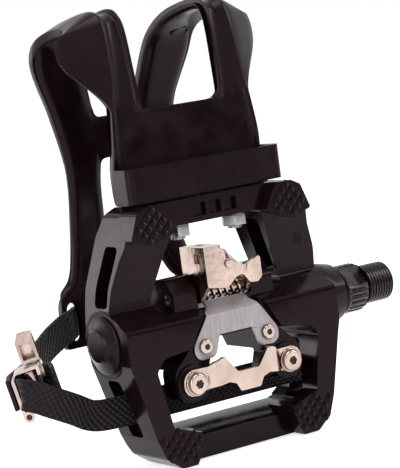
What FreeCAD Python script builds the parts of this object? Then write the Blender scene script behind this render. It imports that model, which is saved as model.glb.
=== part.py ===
import FreeCAD, Part
import math
import os
import Sketcher

# Bicycle pedal with a cleat mechanism on one face and a toe cage with a strap.
# X runs along the spindle to the crank, Z towards the toe and -Y towards the cleat side.
# The origin is on the spindle axis at the shoulder that meets the crank.
# Sizes called front or back are distances from the spindle axis along -Y and +Y.

V = FreeCAD.Vector

SIZES = {
    # spindle, along its axis from the middle of the pedal
    "crank_face": 65.6, "thread_radius": 7.144, "thread_length": 13.0, "thread_lead": 1.0,
    "neck_radius": 6.2, "neck_length": 0.9, "collar_radius": 8.9, "collar_start": 54.9,
    "collar_cone": 1.4, "wrench_half": 7.5, "wrench_turn": 40.0, "rib_groove": 0.55,
    "rib_count": 24.0, "journal_radius": 6.6, "shaft_waist": 4.7, "tail_radius": 3.0,
    "tail_end": 42.4, "running_gap": 0.05, "shoulder_gap": 0.5,
    # ball bearings
    "ball_radius": 1.5875, "inner_pitch": 6.9, "inner_race": 46.5, "outer_pitch": 6.0,
    "outer_race": 33.0, "ball_gap": 0.04, "inner_cup_radius": 9.3, "outer_cup_radius": 8.6,
    "cup_length": 8.0, "seal_length": 1.6, "cone_nut_length": 4.6, "lock_washer": 0.8,
    "lock_nut_length": 3.0, "lock_nut_flats": 9.0, "bore_radius": 5.7,
    # frame casting seen from the cleat side: half widths and heights from the spindle
    "half_width": 44.6, "front_edge": 45.2, "rear_edge": 44.8, "boss_end": 53.0,
    "boss_radius": 12.0, "boss_tip_radius": 10.6, "corner_half": 38.0, "shoulder_half": 43.2,
    "shoulder_up": 19.0, "hip_half": 43.2, "hip_down": 12.0, "front_corner_up": 34.3,
    "rear_corner_down": 33.3, "front_chamfer_half": 34.6, "front_chamfer_up": 43.2,
    "rear_chamfer_half": 35.2, "rear_chamfer_down": 40.4, "front_top_half": 30.6,
    "rear_top_half": 29.4, "outline_round": 3.0,
    "bar_front_low": 36.6, "bar_rear_top": 34.0, "window_top_half": 18.4,
    "window_low_half": 28.4, "window_low_up": 10.0, "hub_top": 7.0, "hub_low": 5.2,
    "rear_window_half": 34.4, "rear_window_up": 10.6, "rear_window_low_half": 30.6,
    "rear_window_round": 4.0,
    # frame casting seen from the side
    "pad_face": 15.2, "arm_front_high": 11.4, "arm_front_low": 4.6, "arm_ramp_up": 28.5,
    "trough_up": 11.0, "platform_up": 4.6, "hub_back": 10.5, "corner_back": 8.0,
    "bar_back": 4.0, "rear_bar_face": 8.6, "seat_face": 13.6, "spider_back": 5.4,
    # claw platform, cover plate and screws
    "claw_hole_half": 20.0, "claw_hole_down": 17.2, "claw_boss_radius": 6.4,
    "claw_seat": 14.5, "claw_sheet": 1.5, "claw_rise": 3.2, "claw_screw_radius": 2.5, "claw_head_radius": 3.6,
    "claw_head_height": 1.5, "claw_washer": 0.5, "claw_screw_length": 9.5,
    "plate_hole_half": 13.3, "plate_hole_down": 5.8, "plate_sheet": 0.8, "plate_ear": 4.6,
    "plate_fold_up": 4.3, "plate_fold_half": 11.4, "plate_lip_up": 8.2, "plate_lip_front": 8.8,
    "plate_screw_radius": 1.5, "plate_head_radius": 2.5, "plate_head_height": 1.1,
    "plate_screw_length": 8.0, "hole_ease": 0.25,
    # strap slots in the side arms
    "slot_near": 12.6, "slot_far": 33.0, "slot_low_front": -4.2, "slot_width": 8.0,
    "slot_shift": 3.4, "slot_round": 1.8,
    # lugs, jaw, springs and tension bolt
    "lug_inner": 11.4, "lug_width": 9.6, "lug_top": 18.4, "lug_front": 10.0, "lug_back": 4.5,
    "pivot_front": 6.5, "pivot_up": 11.4, "pivot_radius": 1.8, "jaw_half": 10.6,
    "jaw_face": 16.6, "jaw_sheet": 1.4, "jaw_low": 12.8, "jaw_top": 22.0, "jaw_wing": 12.4,
    "jaw_roof": 28.0, "jaw_back": 2.0, "hood_far": -2.6, "spring_radius": 2.9, "spring_wire": 0.45,
    "spring_turns": 6.0, "tension_across": -6.4, "tension_front": 8.0, "tension_radius": 1.6,
    "tension_head": 2.4, "tension_head_height": 1.2, "tension_nut_up": 20.6,
    "tension_nut_half": 2.6, "tension_nut_height": 3.0,
    # dust cap
    "cap_radius": 10.1, "cap_thread_radius": 9.2, "cap_flange": 0.9, "cap_height": 3.2,
    "cap_disc_radius": 5.9, "cap_depth": 5.0, "cap_groove": 1.0,
    # toe cage
    "cage_base": 45.4, "cage_sheet": 2.8, "cage_flange": 2.4, "cage_bolt_half": 12.0,
    "cage_bolt_front": 4.4, "cage_bolt_radius": 2.5, "cage_head_radius": 3.3,
    "cage_head_height": 2.6, "cage_nut_flats": 8.0, "cage_nut_height": 3.8,
    "cage_washer_height": 0.6, "cage_washer_radius": 4.4, "cage_bolt_tip": 4.8,
    "cage_half": 31.2, "cage_top_half": 26.2, "cage_top": 111.0, "cage_notch_up": 76.9,
    "cage_notch_half": 16.6, "cage_front_low": -0.4, "cage_front_mid": -1.8,
    "cage_front_top": -5.0, "cage_back": 46.6, "cage_back_low": 49.6, "cage_shoulder_up": 99.5,
    "cage_tail": 7.0, "tail_slot_in": 26.4, "tail_slot_out": 31.6, "tail_slot_top": 9.4,
    "tail_slot_low": 5.0, "tail_half": 34.0, "tail_inner_half": 24.4,
    # bumper tray in front of the cage foot
    "tray_half": 32.2, "tray_low": 46.0, "tray_top": 58.0, "tray_front": 9.6, "tray_wall": 1.5,
    "tray_floor": 1.8, "tray_round": 5.0,
    # strap and buckle
    "strap_width": 10.6, "strap_thick": 1.5, "buckle_across": -72.8, "buckle_up": -11.2,
    "buckle_front": -14.0, "buckle_turn": 32.5, "buckle_tilt": 11.5, "buckle_half": 7.6,
    "buckle_length": 13.0, "buckle_sheet": 1.1, "buckle_depth": 9.4, "barrel_radius": 1.9,
    "barrel_bore": 1.0, "roller_radius": 2.5, "roller_bore": 1.35, "roller_depth": 6.5,
    "roller_along": -3.0, "roller_end_gap": 0.4, "buckle_pin_radius": 1.3, "lever_along": 3.4,
    "lever_depth": 6.9, "lever_sheet": 1.0, "lever_length": 11.0, "lever_base": 6.4,
    "lever_half": 2.7, "cheek_length": 3.4,
}


class Size(float):
    """A number that keeps the formula it came from, so that features can be bound to it."""

    def __new__(cls, value, formula):
        made = float.__new__(cls, value)
        made.formula = formula
        return made

    def join(self, other, sign, value, swapped=False):
        left, right = written(self), written(other)
        if swapped:
            left, right = right, left
        return Size(value, "(%s %s %s)" % (left, sign, right))

    def __add__(self, other):
        return self.join(other, "+", float(self) + float(other))

    def __radd__(self, other):
        return self.join(other, "+", float(other) + float(self), True)

    def __sub__(self, other):
        return self.join(other, "-", float(self) - float(other))

    def __rsub__(self, other):
        return self.join(other, "-", float(other) - float(self), True)

    def __mul__(self, other):
        return self.join(other, "*", float(self) * float(other))

    def __rmul__(self, other):
        return self.join(other, "*", float(other) * float(self), True)

    def __truediv__(self, other):
        return self.join(other, "/", float(self) / float(other))

    def __neg__(self):
        return Size(-float(self), "(-1 * %s)" % self.formula)


def written(value):
    """The formula of a size, or the plain number."""
    return value.formula if isinstance(value, Size) else repr(float(value))


class Sheet:
    """The driving dimensions: one spreadsheet row each, read back as sizes."""

    def __init__(self, document, values):
        self.table = document.addObject("Spreadsheet::Sheet", "Sizes")
        for row, (name, value) in enumerate(values.items(), 1):
            self.table.set("A%d" % row, name.replace("_", " "))
            self.table.set("B%d" % row, str(value))
            self.table.setAlias("B%d" % row, name)
        document.recompute()

    def __getattr__(self, name):
        return Size(self.table.get(name), "Sizes.%s" % name)


doc = FreeCAD.newDocument("ToeClipPedal")
D = Sheet(doc, SIZES)

PLANES = {"front": "XZ_Plane", "side": "YZ_Plane", "top": "XY_Plane"}
parts = []


def tie(feature, path, value):
    """Binds one property to the formula of a size."""
    if isinstance(value, Size):
        feature.setExpression(path, value.formula)


def new_body(name, placed=True):
    """An empty body, shifted so that the origin is at the crank shoulder."""
    made = doc.addObject("PartDesign::Body", name)
    made.Label = name
    if placed:
        tie(made, "Placement.Base.x", -D.crank_face)
    parts.append(made)
    return made


def sketch_on(body, plane, offset=0.0):
    """An empty sketch; a front sketch's offset is towards the cleat side."""
    made = body.newObject("Sketcher::SketchObject", "Sketch")
    role = PLANES[plane]
    made.AttachmentSupport = [([f for f in body.Origin.OriginFeatures if f.Role == role][0], "")]
    made.MapMode = "FlatFace"
    made.AttachmentOffset = FreeCAD.Placement(V(0, 0, float(offset)), FreeCAD.Rotation())
    tie(made, "AttachmentOffset.Base.z", offset)
    return made


def pin_point(found, geometry, end, across, up):
    """Notes the constraints that fix a point at two bound distances from the origin."""
    for kind, value, axis in (("DistanceX", across, -2), ("DistanceY", up, -1)):
        if not isinstance(value, Size) and value == 0:
            found.append((Sketcher.Constraint("PointOnObject", geometry, end, axis), None))
        else:
            found.append((Sketcher.Constraint(kind, -1, 1, geometry, end, float(value)), value))


def constrain(sketch, found):
    """Adds the noted constraints in one go and binds their values."""
    first = len(sketch.Constraints)
    sketch.addConstraint([constraint for constraint, value in found])
    for index, (constraint, value) in enumerate(found, first):
        tie(sketch, "Constraints[%d]" % index, value)


def corner_arc(first, second, middle):
    """An arc that runs anticlockwise, as sketches expect."""
    if (middle - first).cross(second - first).z < 0:
        first, second = second, first
    return Part.Arc(first, middle, second)


def outline(sketch, corners):
    """A closed outline through corners given as (across, up) or (across, up, radius)."""
    count = len(corners)
    points = [V(float(c[0]), float(c[1]), 0) for c in corners]
    ends = []
    for i, here in enumerate(points):
        if len(corners[i]) == 2:
            ends.append((here, here, None))
            continue
        back = (points[i - 1] - here).normalize()
        ahead = (points[(i + 1) % count] - here).normalize()
        half = back.getAngle(ahead) / 2
        run = float(corners[i][2]) / math.tan(half)
        inward = (back + ahead).normalize()
        middle = here + inward * (float(corners[i][2]) * (1 / math.sin(half) - 1))
        ends.append((here + back * run, here + ahead * run, middle))
    for i in range(count):
        side = points[(i + 1) % count] - points[i]
        if (ends[(i + 1) % count][0] - ends[i][1]).dot(side) < 0:
            raise ValueError("rounding too large after corner %d of %s" % (i, sketch.Name))
    first = len(sketch.Geometry)
    sketch.addGeometry([Part.LineSegment(ends[i][1], ends[(i + 1) % count][0])
                        for i in range(count)], False)
    rounded = [i for i in range(count) if ends[i][2] is not None]
    arcs = {i: first + count + k for k, i in enumerate(rounded)}
    if rounded:
        sketch.addGeometry([corner_arc(*ends[i]) for i in rounded], False)
        sketch.addGeometry([Part.Point(points[i]) for i in rounded], True)
    found = []
    for i in range(count):
        coming, going = first + (i - 1) % count, first + i
        if i not in arcs:
            found.append((Sketcher.Constraint("Coincident", coming, 2, going, 1), None))
            pin_point(found, going, 1, corners[i][0], corners[i][1])
            continue
        arc, corner = arcs[i], arcs[i] + len(rounded)
        start = 1 if sketch.Geometry[arc].StartPoint.distanceToPoint(ends[i][0]) < 1e-6 else 2
        found.append((Sketcher.Constraint("Tangent", coming, 2, arc, start), None))
        found.append((Sketcher.Constraint("Tangent", going, 1, arc, 3 - start), None))
        found.append((Sketcher.Constraint("Radius", arc, float(corners[i][2])), corners[i][2]))
        found.append((Sketcher.Constraint("PointOnObject", corner, 1, coming), None))
        found.append((Sketcher.Constraint("PointOnObject", corner, 1, going), None))
        pin_point(found, corner, 1, corners[i][0], corners[i][1])
    constrain(sketch, found)


def ring(sketch, across, up, radius):
    """A circle with a bound centre and radius."""
    centre = V(float(across), float(up), 0)
    made = sketch.addGeometry(Part.Circle(centre, V(0, 0, 1), float(radius)), False)
    found = []
    pin_point(found, made, 3, across, up)
    found.append((Sketcher.Constraint("Radius", made, float(radius)), radius))
    constrain(sketch, found)


def mirrored(corners):
    """The same corners on the other side of the middle, in running order."""
    return [(-1 * c[0] if not isinstance(c[0], Size) else -c[0],) + tuple(c[1:])
            for c in reversed(corners)]


def box_corners(low_x, low_y, high_x, high_y):
    """Four corners of a rectangle."""
    return [(low_x, low_y), (high_x, low_y), (high_x, high_y), (low_x, high_y)]


def feature(body, kind, sketch):
    """A PartDesign feature made from a sketch, which becomes the body's tip."""
    made = body.newObject("PartDesign::" + kind, kind)
    made.Profile = sketch
    sketch.Visibility = False
    return made


def pad(body, sketch, length, back=False, both=False):
    made = feature(body, "Pad", sketch)
    made.Length = float(length)
    made.SideType = "Symmetric" if both else "One side"
    made.Reversed = back
    tie(made, "Length", length)
    return made


def pocket(body, sketch, length=None, back=False):
    """A cut from the sketch away from its normal, or along it when back is set."""
    made = feature(body, "Pocket", sketch)
    if length is None:
        length = D.cage_top * 2
        made.SideType = "Symmetric"
    made.Length = float(length)
    made.Reversed = back
    tie(made, "Length", length)
    return made


def turn(body, sketch, cut=False, axis="H_Axis"):
    """A full turn of a sketch about one of its own axes."""
    made = feature(body, "Groove" if cut else "Revolution", sketch)
    made.ReferenceAxis = (sketch, [axis])
    made.Angle = 360.0
    return made


def edges_where(shape, test):
    """Names of the edges whose middle and direction pass a test."""
    names = []
    for index, edge in enumerate(shape.Edges, 1):
        middle = edge.valueAt((edge.FirstParameter + edge.LastParameter) / 2)
        along = edge.tangentAt((edge.FirstParameter + edge.LastParameter) / 2)
        if test(middle, along, edge):
            names.append("Edge%d" % index)
    return names


def round_edges(body, size, test, kind="Fillet"):
    """A fillet or chamfer on the edges of the tip that pass a test."""
    doc.recompute()
    base = body.Tip
    names = edges_where(base.Shape, test)
    made = body.newObject("PartDesign::" + kind, kind)
    made.Base = (base, names)
    path = "Radius" if kind == "Fillet" else "Size"
    setattr(made, path, float(size))
    tie(made, path, size)
    return made


def hexagon(flats):
    """Corners of a hexagon of a given width across flats."""
    side = flats / math.sqrt(3)
    return [(side, 0.0), (side / 2, flats / 2), (-(side / 2), flats / 2), (-side, 0.0),
            (-(side / 2), -(flats / 2)), (side / 2, -(flats / 2))]


def shifted(corners, across, up):
    """Corners moved by two distances."""
    return [(c[0] + across, c[1] + up) + tuple(c[2:]) for c in corners]


def race_arc(centre_x, centre_y, radius, start_deg, end_deg, steps=5):
    """Corner points along a bearing race, as sizes."""
    points = []
    for i in range(steps + 1):
        angle = math.radians(start_deg + (end_deg - start_deg) * i / steps)
        points.append((centre_x + radius * math.cos(angle), centre_y + radius * math.sin(angle)))
    return points


# Spindle: crank thread, wrench collar, journal and the tail that holds the outer bearing.

def make_spindle():
    body = new_body("spindle")
    race = D.ball_radius + D.ball_gap
    start = D.collar_start
    tip = D.crank_face + D.thread_length
    profile = sketch_on(body, "front")
    corners = [
        (-D.tail_end, 0.0), (-D.tail_end, D.tail_radius), (-D.outer_race + 3.0, D.tail_radius),
        (-D.outer_race + 6.0, D.shaft_waist), (D.inner_race - 12.0, D.inner_pitch - race)]
    corners += race_arc(D.inner_race, D.inner_pitch, race, -90, 0)
    corners += [
        (D.inner_race + race + 1.2, D.inner_pitch), (D.inner_race + race + 1.8, D.journal_radius),
        (D.boss_end + D.shoulder_gap, D.journal_radius),
        (start - 0.4, D.collar_radius - D.collar_cone), (start + 0.6, D.collar_radius),
        (D.crank_face - D.neck_length - 0.5, D.collar_radius),
        (D.crank_face - D.neck_length, D.collar_radius - 0.5),
        (D.crank_face - D.neck_length, D.neck_radius), (D.crank_face, D.neck_radius),
        (D.crank_face, D.thread_radius), (tip - D.thread_lead, D.thread_radius),
        (tip, D.thread_radius - D.thread_lead), (tip, 0.0)]
    outline(profile, corners)
    turn(body, profile)
    notch = sketch_on(body, "side", D.crank_face - D.neck_length + 0.01)
    ring(notch, 0.0, D.collar_radius + 0.25, D.rib_groove + 0.25)
    doc.recompute()
    groove = pocket(body, notch, D.crank_face - D.neck_length - start - 1.6)
    doc.recompute()
    ribs = body.newObject("PartDesign::PolarPattern", "Ribs")
    ribs.Originals = [groove]
    ribs.Axis = ([f for f in body.Origin.OriginFeatures if f.Role == "X_Axis"][0], [""])
    ribs.Angle = 360.0
    ribs.Occurrences = int(D.rib_count)
    tie(ribs, "Occurrences", D.rib_count)
    body.Tip = ribs
    doc.recompute()
    flats = sketch_on(body, "side", D.crank_face - D.neck_length + 0.01)
    wide = D.collar_radius * 3
    outline(flats, box_corners(-wide, D.wrench_half, wide, wide))
    outline(flats, box_corners(-wide, -wide, wide, -D.wrench_half))
    flats.AttachmentOffset = FreeCAD.Placement(
        flats.AttachmentOffset.Base, FreeCAD.Rotation(V(0, 0, 1), 90 - float(D.wrench_turn)))
    pocket(body, flats, D.crank_face - D.neck_length - start - 1.0)
    return body


# Ball bearings, their cups, the adjusting cone and its lock nut.

def make_bearing_balls(name, pitch, along, count):
    """One ball and its copies round the spindle, as separate solids of one node."""
    ball = doc.addObject("Part::Sphere", name + "_ball")
    ball.Radius = float(D.ball_radius)
    tie(ball, "Radius", D.ball_radius)
    spot = along - D.crank_face
    ball.Placement = FreeCAD.Placement(V(float(spot), 0, float(pitch)), FreeCAD.Rotation())
    tie(ball, "Placement.Base.x", spot)
    tie(ball, "Placement.Base.z", pitch)
    doc.recompute()
    balls = doc.addObject("Part::Feature", name)
    turns = [360.0 * i / count for i in range(count)]
    solids = []
    for angle in turns:
        copy = ball.Shape.copy()
        copy.rotate(V(0, 0, 0), V(1, 0, 0), angle)
        solids.append(copy)
    balls.Shape = Part.makeCompound(solids)
    balls.Label = name
    parts.append(balls)
    return balls


def make_cup(name, along, pitch, outer, side):
    """A pressed cup; side is 1 where its race faces the crank and -1 where it faces away."""
    body = new_body(name)
    race = D.ball_radius + D.ball_gap
    lip = pitch - race * 0.25
    sketch = sketch_on(body, "front")
    arc = race_arc(0.0 * along, pitch, race, 90, 170, 4)
    floor = race + 2.0
    corners = [(-floor, lip), (-race * math.cos(math.radians(10)), lip)]
    corners += [(c[0], c[1]) for c in reversed(arc)]
    corners += [(D.cup_length - floor, pitch + race), (D.cup_length - floor, outer),
                (-floor, outer)]
    corners = [(c[0] * side + along, c[1]) for c in corners]
    outline(sketch, corners)
    turn(body, sketch)
    return body


def make_bearing_set():
    make_bearing_balls("inner_balls", D.inner_pitch, D.inner_race, 13)
    make_bearing_balls("outer_balls", D.outer_pitch, -D.outer_race, 11)
    make_cup("inner_bearing_cup", D.inner_race, D.inner_pitch, D.inner_cup_radius, 1)
    make_cup("outer_bearing_cup", -D.outer_race, D.outer_pitch, D.outer_cup_radius, -1)
    seal = new_body("spindle_seal")
    rim = sketch_on(seal, "side", D.boss_end - D.seal_length)
    ring(rim, 0.0, 0.0, D.inner_cup_radius)
    ring(rim, 0.0, 0.0, D.journal_radius + D.running_gap)
    pad(seal, rim, D.seal_length)

    race = D.ball_radius + D.ball_gap
    cone = new_body("adjusting_cone")
    sketch = sketch_on(cone, "front")
    bore = D.tail_radius + D.running_gap / 5
    corners = [(-D.outer_race + 0.4, bore), (-D.outer_race + 0.4, D.outer_pitch - race)]
    corners += race_arc(-D.outer_race, D.outer_pitch, race, -90, -175, 4)
    cone_end = D.outer_race + D.cone_nut_length
    corners += [(-cone_end, D.outer_pitch - 0.15), (-cone_end, bore)]
    outline(sketch, corners)
    turn(cone, sketch)

    washer = new_body("lock_washer")
    rim = sketch_on(washer, "side", -cone_end - D.lock_washer)
    ring(rim, 0.0, 0.0, D.tail_radius + 2.2)
    ring(rim, 0.0, 0.0, bore)
    pad(washer, rim, D.lock_washer)

    nut = new_body("lock_nut")
    nut_end = cone_end + D.lock_washer + D.lock_nut_length
    rim = sketch_on(nut, "side", -nut_end)
    outline(rim, hexagon(D.lock_nut_flats))
    ring(rim, 0.0, 0.0, bore)
    pad(nut, rim, D.lock_nut_length)


# Frame: one casting with side arms, crossbars, hub, lugs, claw platform and corner pads.

def frame_outline():
    """The right half of the frame's outer edge, from the front to the rear."""
    rounding = D.outline_round
    return [
        (D.front_top_half, D.front_edge, rounding),
        (D.front_chamfer_half, D.front_chamfer_up, rounding),
        (D.corner_half, D.front_corner_up, rounding * 4),
        (D.shoulder_half, D.shoulder_up, rounding * 6),
        (D.half_width, D.hub_top, rounding * 2), (D.half_width, -D.hub_top, rounding * 2),
        (D.hip_half, -D.hip_down, rounding * 4),
        (D.corner_half, -D.rear_corner_down, rounding * 4),
        (D.rear_chamfer_half, -D.rear_chamfer_down, rounding),
        (D.rear_top_half, -D.rear_edge, rounding)]


def front_pad_corners():
    rounding = D.outline_round / 2
    return [
        (D.corner_half, D.front_corner_up, rounding / 2),
        (D.front_chamfer_half, D.front_chamfer_up, rounding),
        (D.front_top_half, D.front_edge, rounding), (D.front_top_half - 6.0, D.front_edge, rounding),
        (D.window_top_half + 3.9, D.front_chamfer_up - 0.4, rounding),
        (D.window_top_half + 0.4, D.bar_front_low - 0.6, rounding / 2),
        (D.front_top_half - 1.4, D.front_corner_up - 2.4, rounding)]


def rear_pad_corners():
    rounding = D.outline_round / 2
    return [
        (D.corner_half, -D.rear_corner_down, rounding / 2),
        (D.rear_chamfer_half, -D.rear_chamfer_down, rounding),
        (D.rear_top_half, -D.rear_edge, rounding), (D.rear_top_half - 5.4, -D.rear_edge, rounding),
        (D.window_top_half + 3.4, -D.rear_chamfer_down - 2.2, rounding),
        (D.window_top_half + 1.3, -D.bar_rear_top - 1.6, rounding / 2),
        (D.window_top_half + 2.2, -D.bar_rear_top, rounding / 2),
        (D.rear_top_half, -D.rear_corner_down + 2.6, rounding / 2)]


def make_frame():
    body = new_body("frame")
    depth = D.hub_back + D.pad_face
    # plate with the outer edge, the front window and the rear windows
    plan = sketch_on(body, "front", -D.hub_back)
    right = frame_outline()
    outline(plan, right + mirrored(right))
    pad(body, plan, depth)
    window = sketch_on(body, "front")
    front_half = [(D.window_top_half, D.bar_front_low, 1.5),
                  (D.window_low_half, D.window_low_up, 3.0), (D.window_low_half - 6.0, D.hub_top)]
    outline(window, front_half + mirrored(front_half))
    pocket(body, window)
    window = sketch_on(body, "front")
    boss = D.claw_boss_radius
    rear_half = [
        (D.window_top_half + 0.6, -D.hub_low), (D.rear_window_half - 3.4, -D.hub_low - 1.2, 4.0),
        (D.rear_window_half, -D.rear_window_up, 2.0),
        (D.rear_window_low_half, -D.bar_rear_top + 3.2, 2.0),
        (D.rear_window_low_half - 5.0, -D.bar_rear_top, 2.0)]
    spider = [
        (-D.claw_hole_half - boss, -D.claw_hole_down + boss - 1.6, boss / 2),
        (-D.claw_hole_half - boss, -D.claw_hole_down - boss, boss - 1.2),
        (-D.claw_hole_half, -D.claw_hole_down - boss, boss / 2),
        (-D.claw_hole_half + boss - 2.0, -D.claw_hole_down - boss + 2.6, 1.0)]
    outline(window, rear_half + mirrored(rear_half) + spider + mirrored(spider))
    pocket(body, window)
    window = sketch_on(body, "front")
    hole_half = [(D.plate_hole_half - 4.6, -D.hub_low + 1.8, 1.2),
                 (D.plate_hole_half - 0.8, -D.claw_hole_down + 4.4, 1.2),
                 (D.claw_hole_half - 9.4, -D.claw_hole_down - 1.8, 1.2)]
    outline(window, hole_half + mirrored(hole_half))
    pocket(body, window)
    # side profile: arms slope down to the trough in front of the hub
    trim = sketch_on(body, "side")
    far = D.front_edge * 1.5
    outline(trim, box_corners(-far, -far, far, far))
    edge = D.front_edge + 1.0
    outline(trim, [
        (-D.arm_front_high, edge), (-D.arm_front_high, D.front_corner_up - 1.4),
        (-D.arm_front_high + 2.2, D.arm_ramp_up), (-D.arm_front_low, D.trough_up, 1.5),
        (-D.pad_face + 0.6, D.platform_up + 0.6), (-D.pad_face, D.platform_up - 1.0),
        (-D.pad_face, -edge), (D.bar_back, -edge), (D.corner_back, -D.rear_corner_down - 4.0, 4.0),
        (D.hub_back, -D.hip_down, 6.0), (D.hub_back, D.hip_down, 6.0),
        (D.corner_back, D.front_corner_up + 2.0, 4.0), (D.bar_back, edge)])
    pocket(body, trim)
    # rear crossbar set back between its pads
    step = sketch_on(body, "front", D.rear_bar_face)
    drop = [(D.window_top_half + 1.2, -D.bar_rear_top + 1.0),
            (D.window_top_half + 1.3, -D.bar_rear_top - 1.6),
            (D.window_top_half + 3.4, -D.rear_chamfer_down - 2.2),
            (D.window_top_half + 5.4, -edge)]
    outline(step, drop + mirrored(drop))
    pocket(body, step, D.pad_face, True)
    lip = sketch_on(body, "side")
    outline(lip, [(-D.rear_bar_face - 1.0, -D.bar_rear_top + 1.0),
                  (-2.0, -D.bar_rear_top + 1.0), (-2.0, -D.bar_rear_top),
                  (-D.rear_bar_face + 0.5, -D.bar_rear_top - 2.8),
                  (-D.rear_bar_face - 1.0, -D.bar_rear_top - 2.8)])
    shelf = pocket(body, lip, D.window_top_half * 2)
    shelf.SideType = "Symmetric"
    # recess for the cover plate and the claw platform
    seat = sketch_on(body, "front", D.seat_face)
    recess = [(D.plate_fold_half + 0.8, D.platform_up + 2.0),
              (D.window_top_half + 0.8, -D.hub_low),
              (D.claw_hole_half + boss + 0.4, -D.claw_hole_down + boss),
              (D.claw_hole_half + boss + 0.4, -D.claw_hole_down - boss - 1.0)]
    outline(seat, recess + mirrored(recess))
    pocket(body, seat, D.pad_face, True)
    slope = sketch_on(body, "side")
    outline(slope, [(-D.pad_face, D.plate_fold_up - 0.5), (-D.seat_face, D.plate_fold_up - 0.5),
                    (-D.plate_lip_front, D.plate_lip_up - 0.5), (-D.pad_face, D.plate_lip_up - 0.5)])
    cleared = pocket(body, slope, (D.plate_fold_half + 0.6) * 2)
    cleared.SideType = "Symmetric"
    # strap slots through both arms, and the way behind the claw platform
    slots = sketch_on(body, "side")
    low, wide, lean = -D.slot_low_front, D.slot_width, D.slot_shift
    for side in (1, -1):
        corners = [(low, side * D.slot_near, D.slot_round),
                   (low - wide, side * D.slot_near, D.slot_round),
                   (low - wide - lean, side * D.slot_far, D.slot_round),
                   (low - lean, side * D.slot_far, D.slot_round)]
        outline(slots, corners)
    pocket(body, slots)
    under = sketch_on(body, "side")
    outline(under, box_corners(-D.spider_back, -D.bar_rear_top + 0.5, far, -D.hip_down))
    opened = pocket(body, under, (D.claw_hole_half + boss + 1.0) * 2)
    opened.SideType = "Symmetric"
    # corner pads
    for corners, base in ((front_pad_corners(), D.arm_front_low), (rear_pad_corners(), D.seat_face)):
        for side in (corners, mirrored(corners)):
            face = sketch_on(body, "front", base)
            outline(face, side)
            pad(body, face, D.pad_face - base)
    # hub bosses round the spindle
    hub = sketch_on(body, "front")
    outline(hub, [(D.half_width - 9.0, 0.0), (D.half_width - 9.0, D.boss_radius),
                  (D.half_width + 1.6, D.boss_radius), (D.boss_end, D.boss_tip_radius),
                  (D.boss_end, 0.0)])
    turn(body, hub)
    far_hub = sketch_on(body, "front")
    outline(far_hub, [(-D.half_width, 0.0), (-D.half_width, D.boss_radius - 0.2),
                      (-D.half_width + 9.0, D.boss_radius - 0.2), (-D.half_width + 9.0, 0.0)])
    turn(body, far_hub)
    # lugs that carry the jaw
    for side in (1, -1):
        start = D.lug_inner if side == 1 else -D.lug_inner - D.lug_width
        lug = sketch_on(body, "side", start)
        outline(lug, [(D.lug_back, 2.0), (-D.lug_front, 2.0), (-D.lug_front, D.lug_top - 5.0, 2.0),
                      (-D.pivot_front + 1.0, D.lug_top, 2.4), (0.0, D.lug_top, 2.4),
                      (D.lug_back, D.pivot_up, 2.0)])
        pad(body, lug, D.lug_width)
    # bosses under the claw ears
    ears = sketch_on(body, "front", D.spider_back)
    for side in (1, -1):
        ring(ears, side * D.claw_hole_half, -D.claw_hole_down, boss)
    pad(body, ears, D.claw_seat - D.spider_back)
    # bearing bore with its seats, and the cap's counterbore
    race = D.ball_radius + D.ball_gap
    inner_seat = D.inner_race - race - 2.0
    outer_seat = D.outer_race - race - 2.0
    bore = sketch_on(body, "front")
    outline(bore, [(-D.half_width - 1.0, 0.0), (-D.half_width - 1.0, D.cap_thread_radius),
                   (-outer_seat - D.cup_length, D.cap_thread_radius),
                   (-outer_seat - D.cup_length, D.outer_cup_radius),
                   (-outer_seat, D.outer_cup_radius), (-outer_seat, D.bore_radius),
                   (inner_seat, D.bore_radius), (inner_seat, D.inner_cup_radius),
                   (D.boss_end + 1.0, D.inner_cup_radius), (D.boss_end + 1.0, 0.0)])
    turn(body, bore, cut=True)
    # screw holes, cage bolt holes and the pivot hole
    for half, down, radius, depth_in, face in (
            (D.claw_hole_half, D.claw_hole_down, D.claw_screw_radius,
             D.claw_screw_length - 1.0, D.claw_seat),
            (D.plate_hole_half, D.plate_hole_down, D.plate_screw_radius,
             D.plate_screw_length, D.seat_face)):
        holes = sketch_on(body, "front", face)
        for side in (1, -1):
            ring(holes, side * half, -down, radius)
        pocket(body, holes, depth_in)
    bolts = sketch_on(body, "top", D.front_edge)
    for side in (1, -1):
        ring(bolts, side * D.cage_bolt_half, -D.cage_bolt_front, D.cage_bolt_radius + D.hole_ease)
    pocket(body, bolts, D.front_edge - D.bar_front_low + 1.0)
    pivot = sketch_on(body, "side")
    ring(pivot, -D.pivot_front, D.pivot_up, D.pivot_radius)
    drilled = pocket(body, pivot, (D.lug_inner + D.lug_width) * 2)
    drilled.SideType = "Symmetric"
    # lightening pockets in the front crossbar's face
    cells = sketch_on(body, "front", D.arm_front_high)
    for column in (-9.0, -2.6, 3.8):
        outline(cells, box_corners(column, D.bar_front_low + 2.0, column + 5.2,
                                   D.front_edge - 2.2))
    pocket(body, cells, 1.6)
    return body


def make_dust_cap():
    body = new_body("dust_cap")
    face = D.half_width
    sketch = sketch_on(body, "front")
    top = face + D.cap_height
    outline(sketch, [
        (-top, 0.0), (-top, D.cap_disc_radius - 0.5), (-top + 0.5, D.cap_disc_radius),
        (-top + 0.8, D.cap_disc_radius + 0.4), (-face - D.cap_flange, D.cap_radius - 0.4),
        (-face - D.cap_flange + 0.4, D.cap_radius), (-face, D.cap_radius),
        (-face, D.cap_thread_radius), (-face + D.cap_depth, D.cap_thread_radius),
        (-face + D.cap_depth, D.cap_thread_radius - 1.4), (-face - 0.6, D.cap_thread_radius - 1.4),
        (-face - 0.6, 0.0)])
    turn(body, sketch)
    return body


# Cleat side: fixed claw, cover plate, jaw, springs and their screws.

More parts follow.
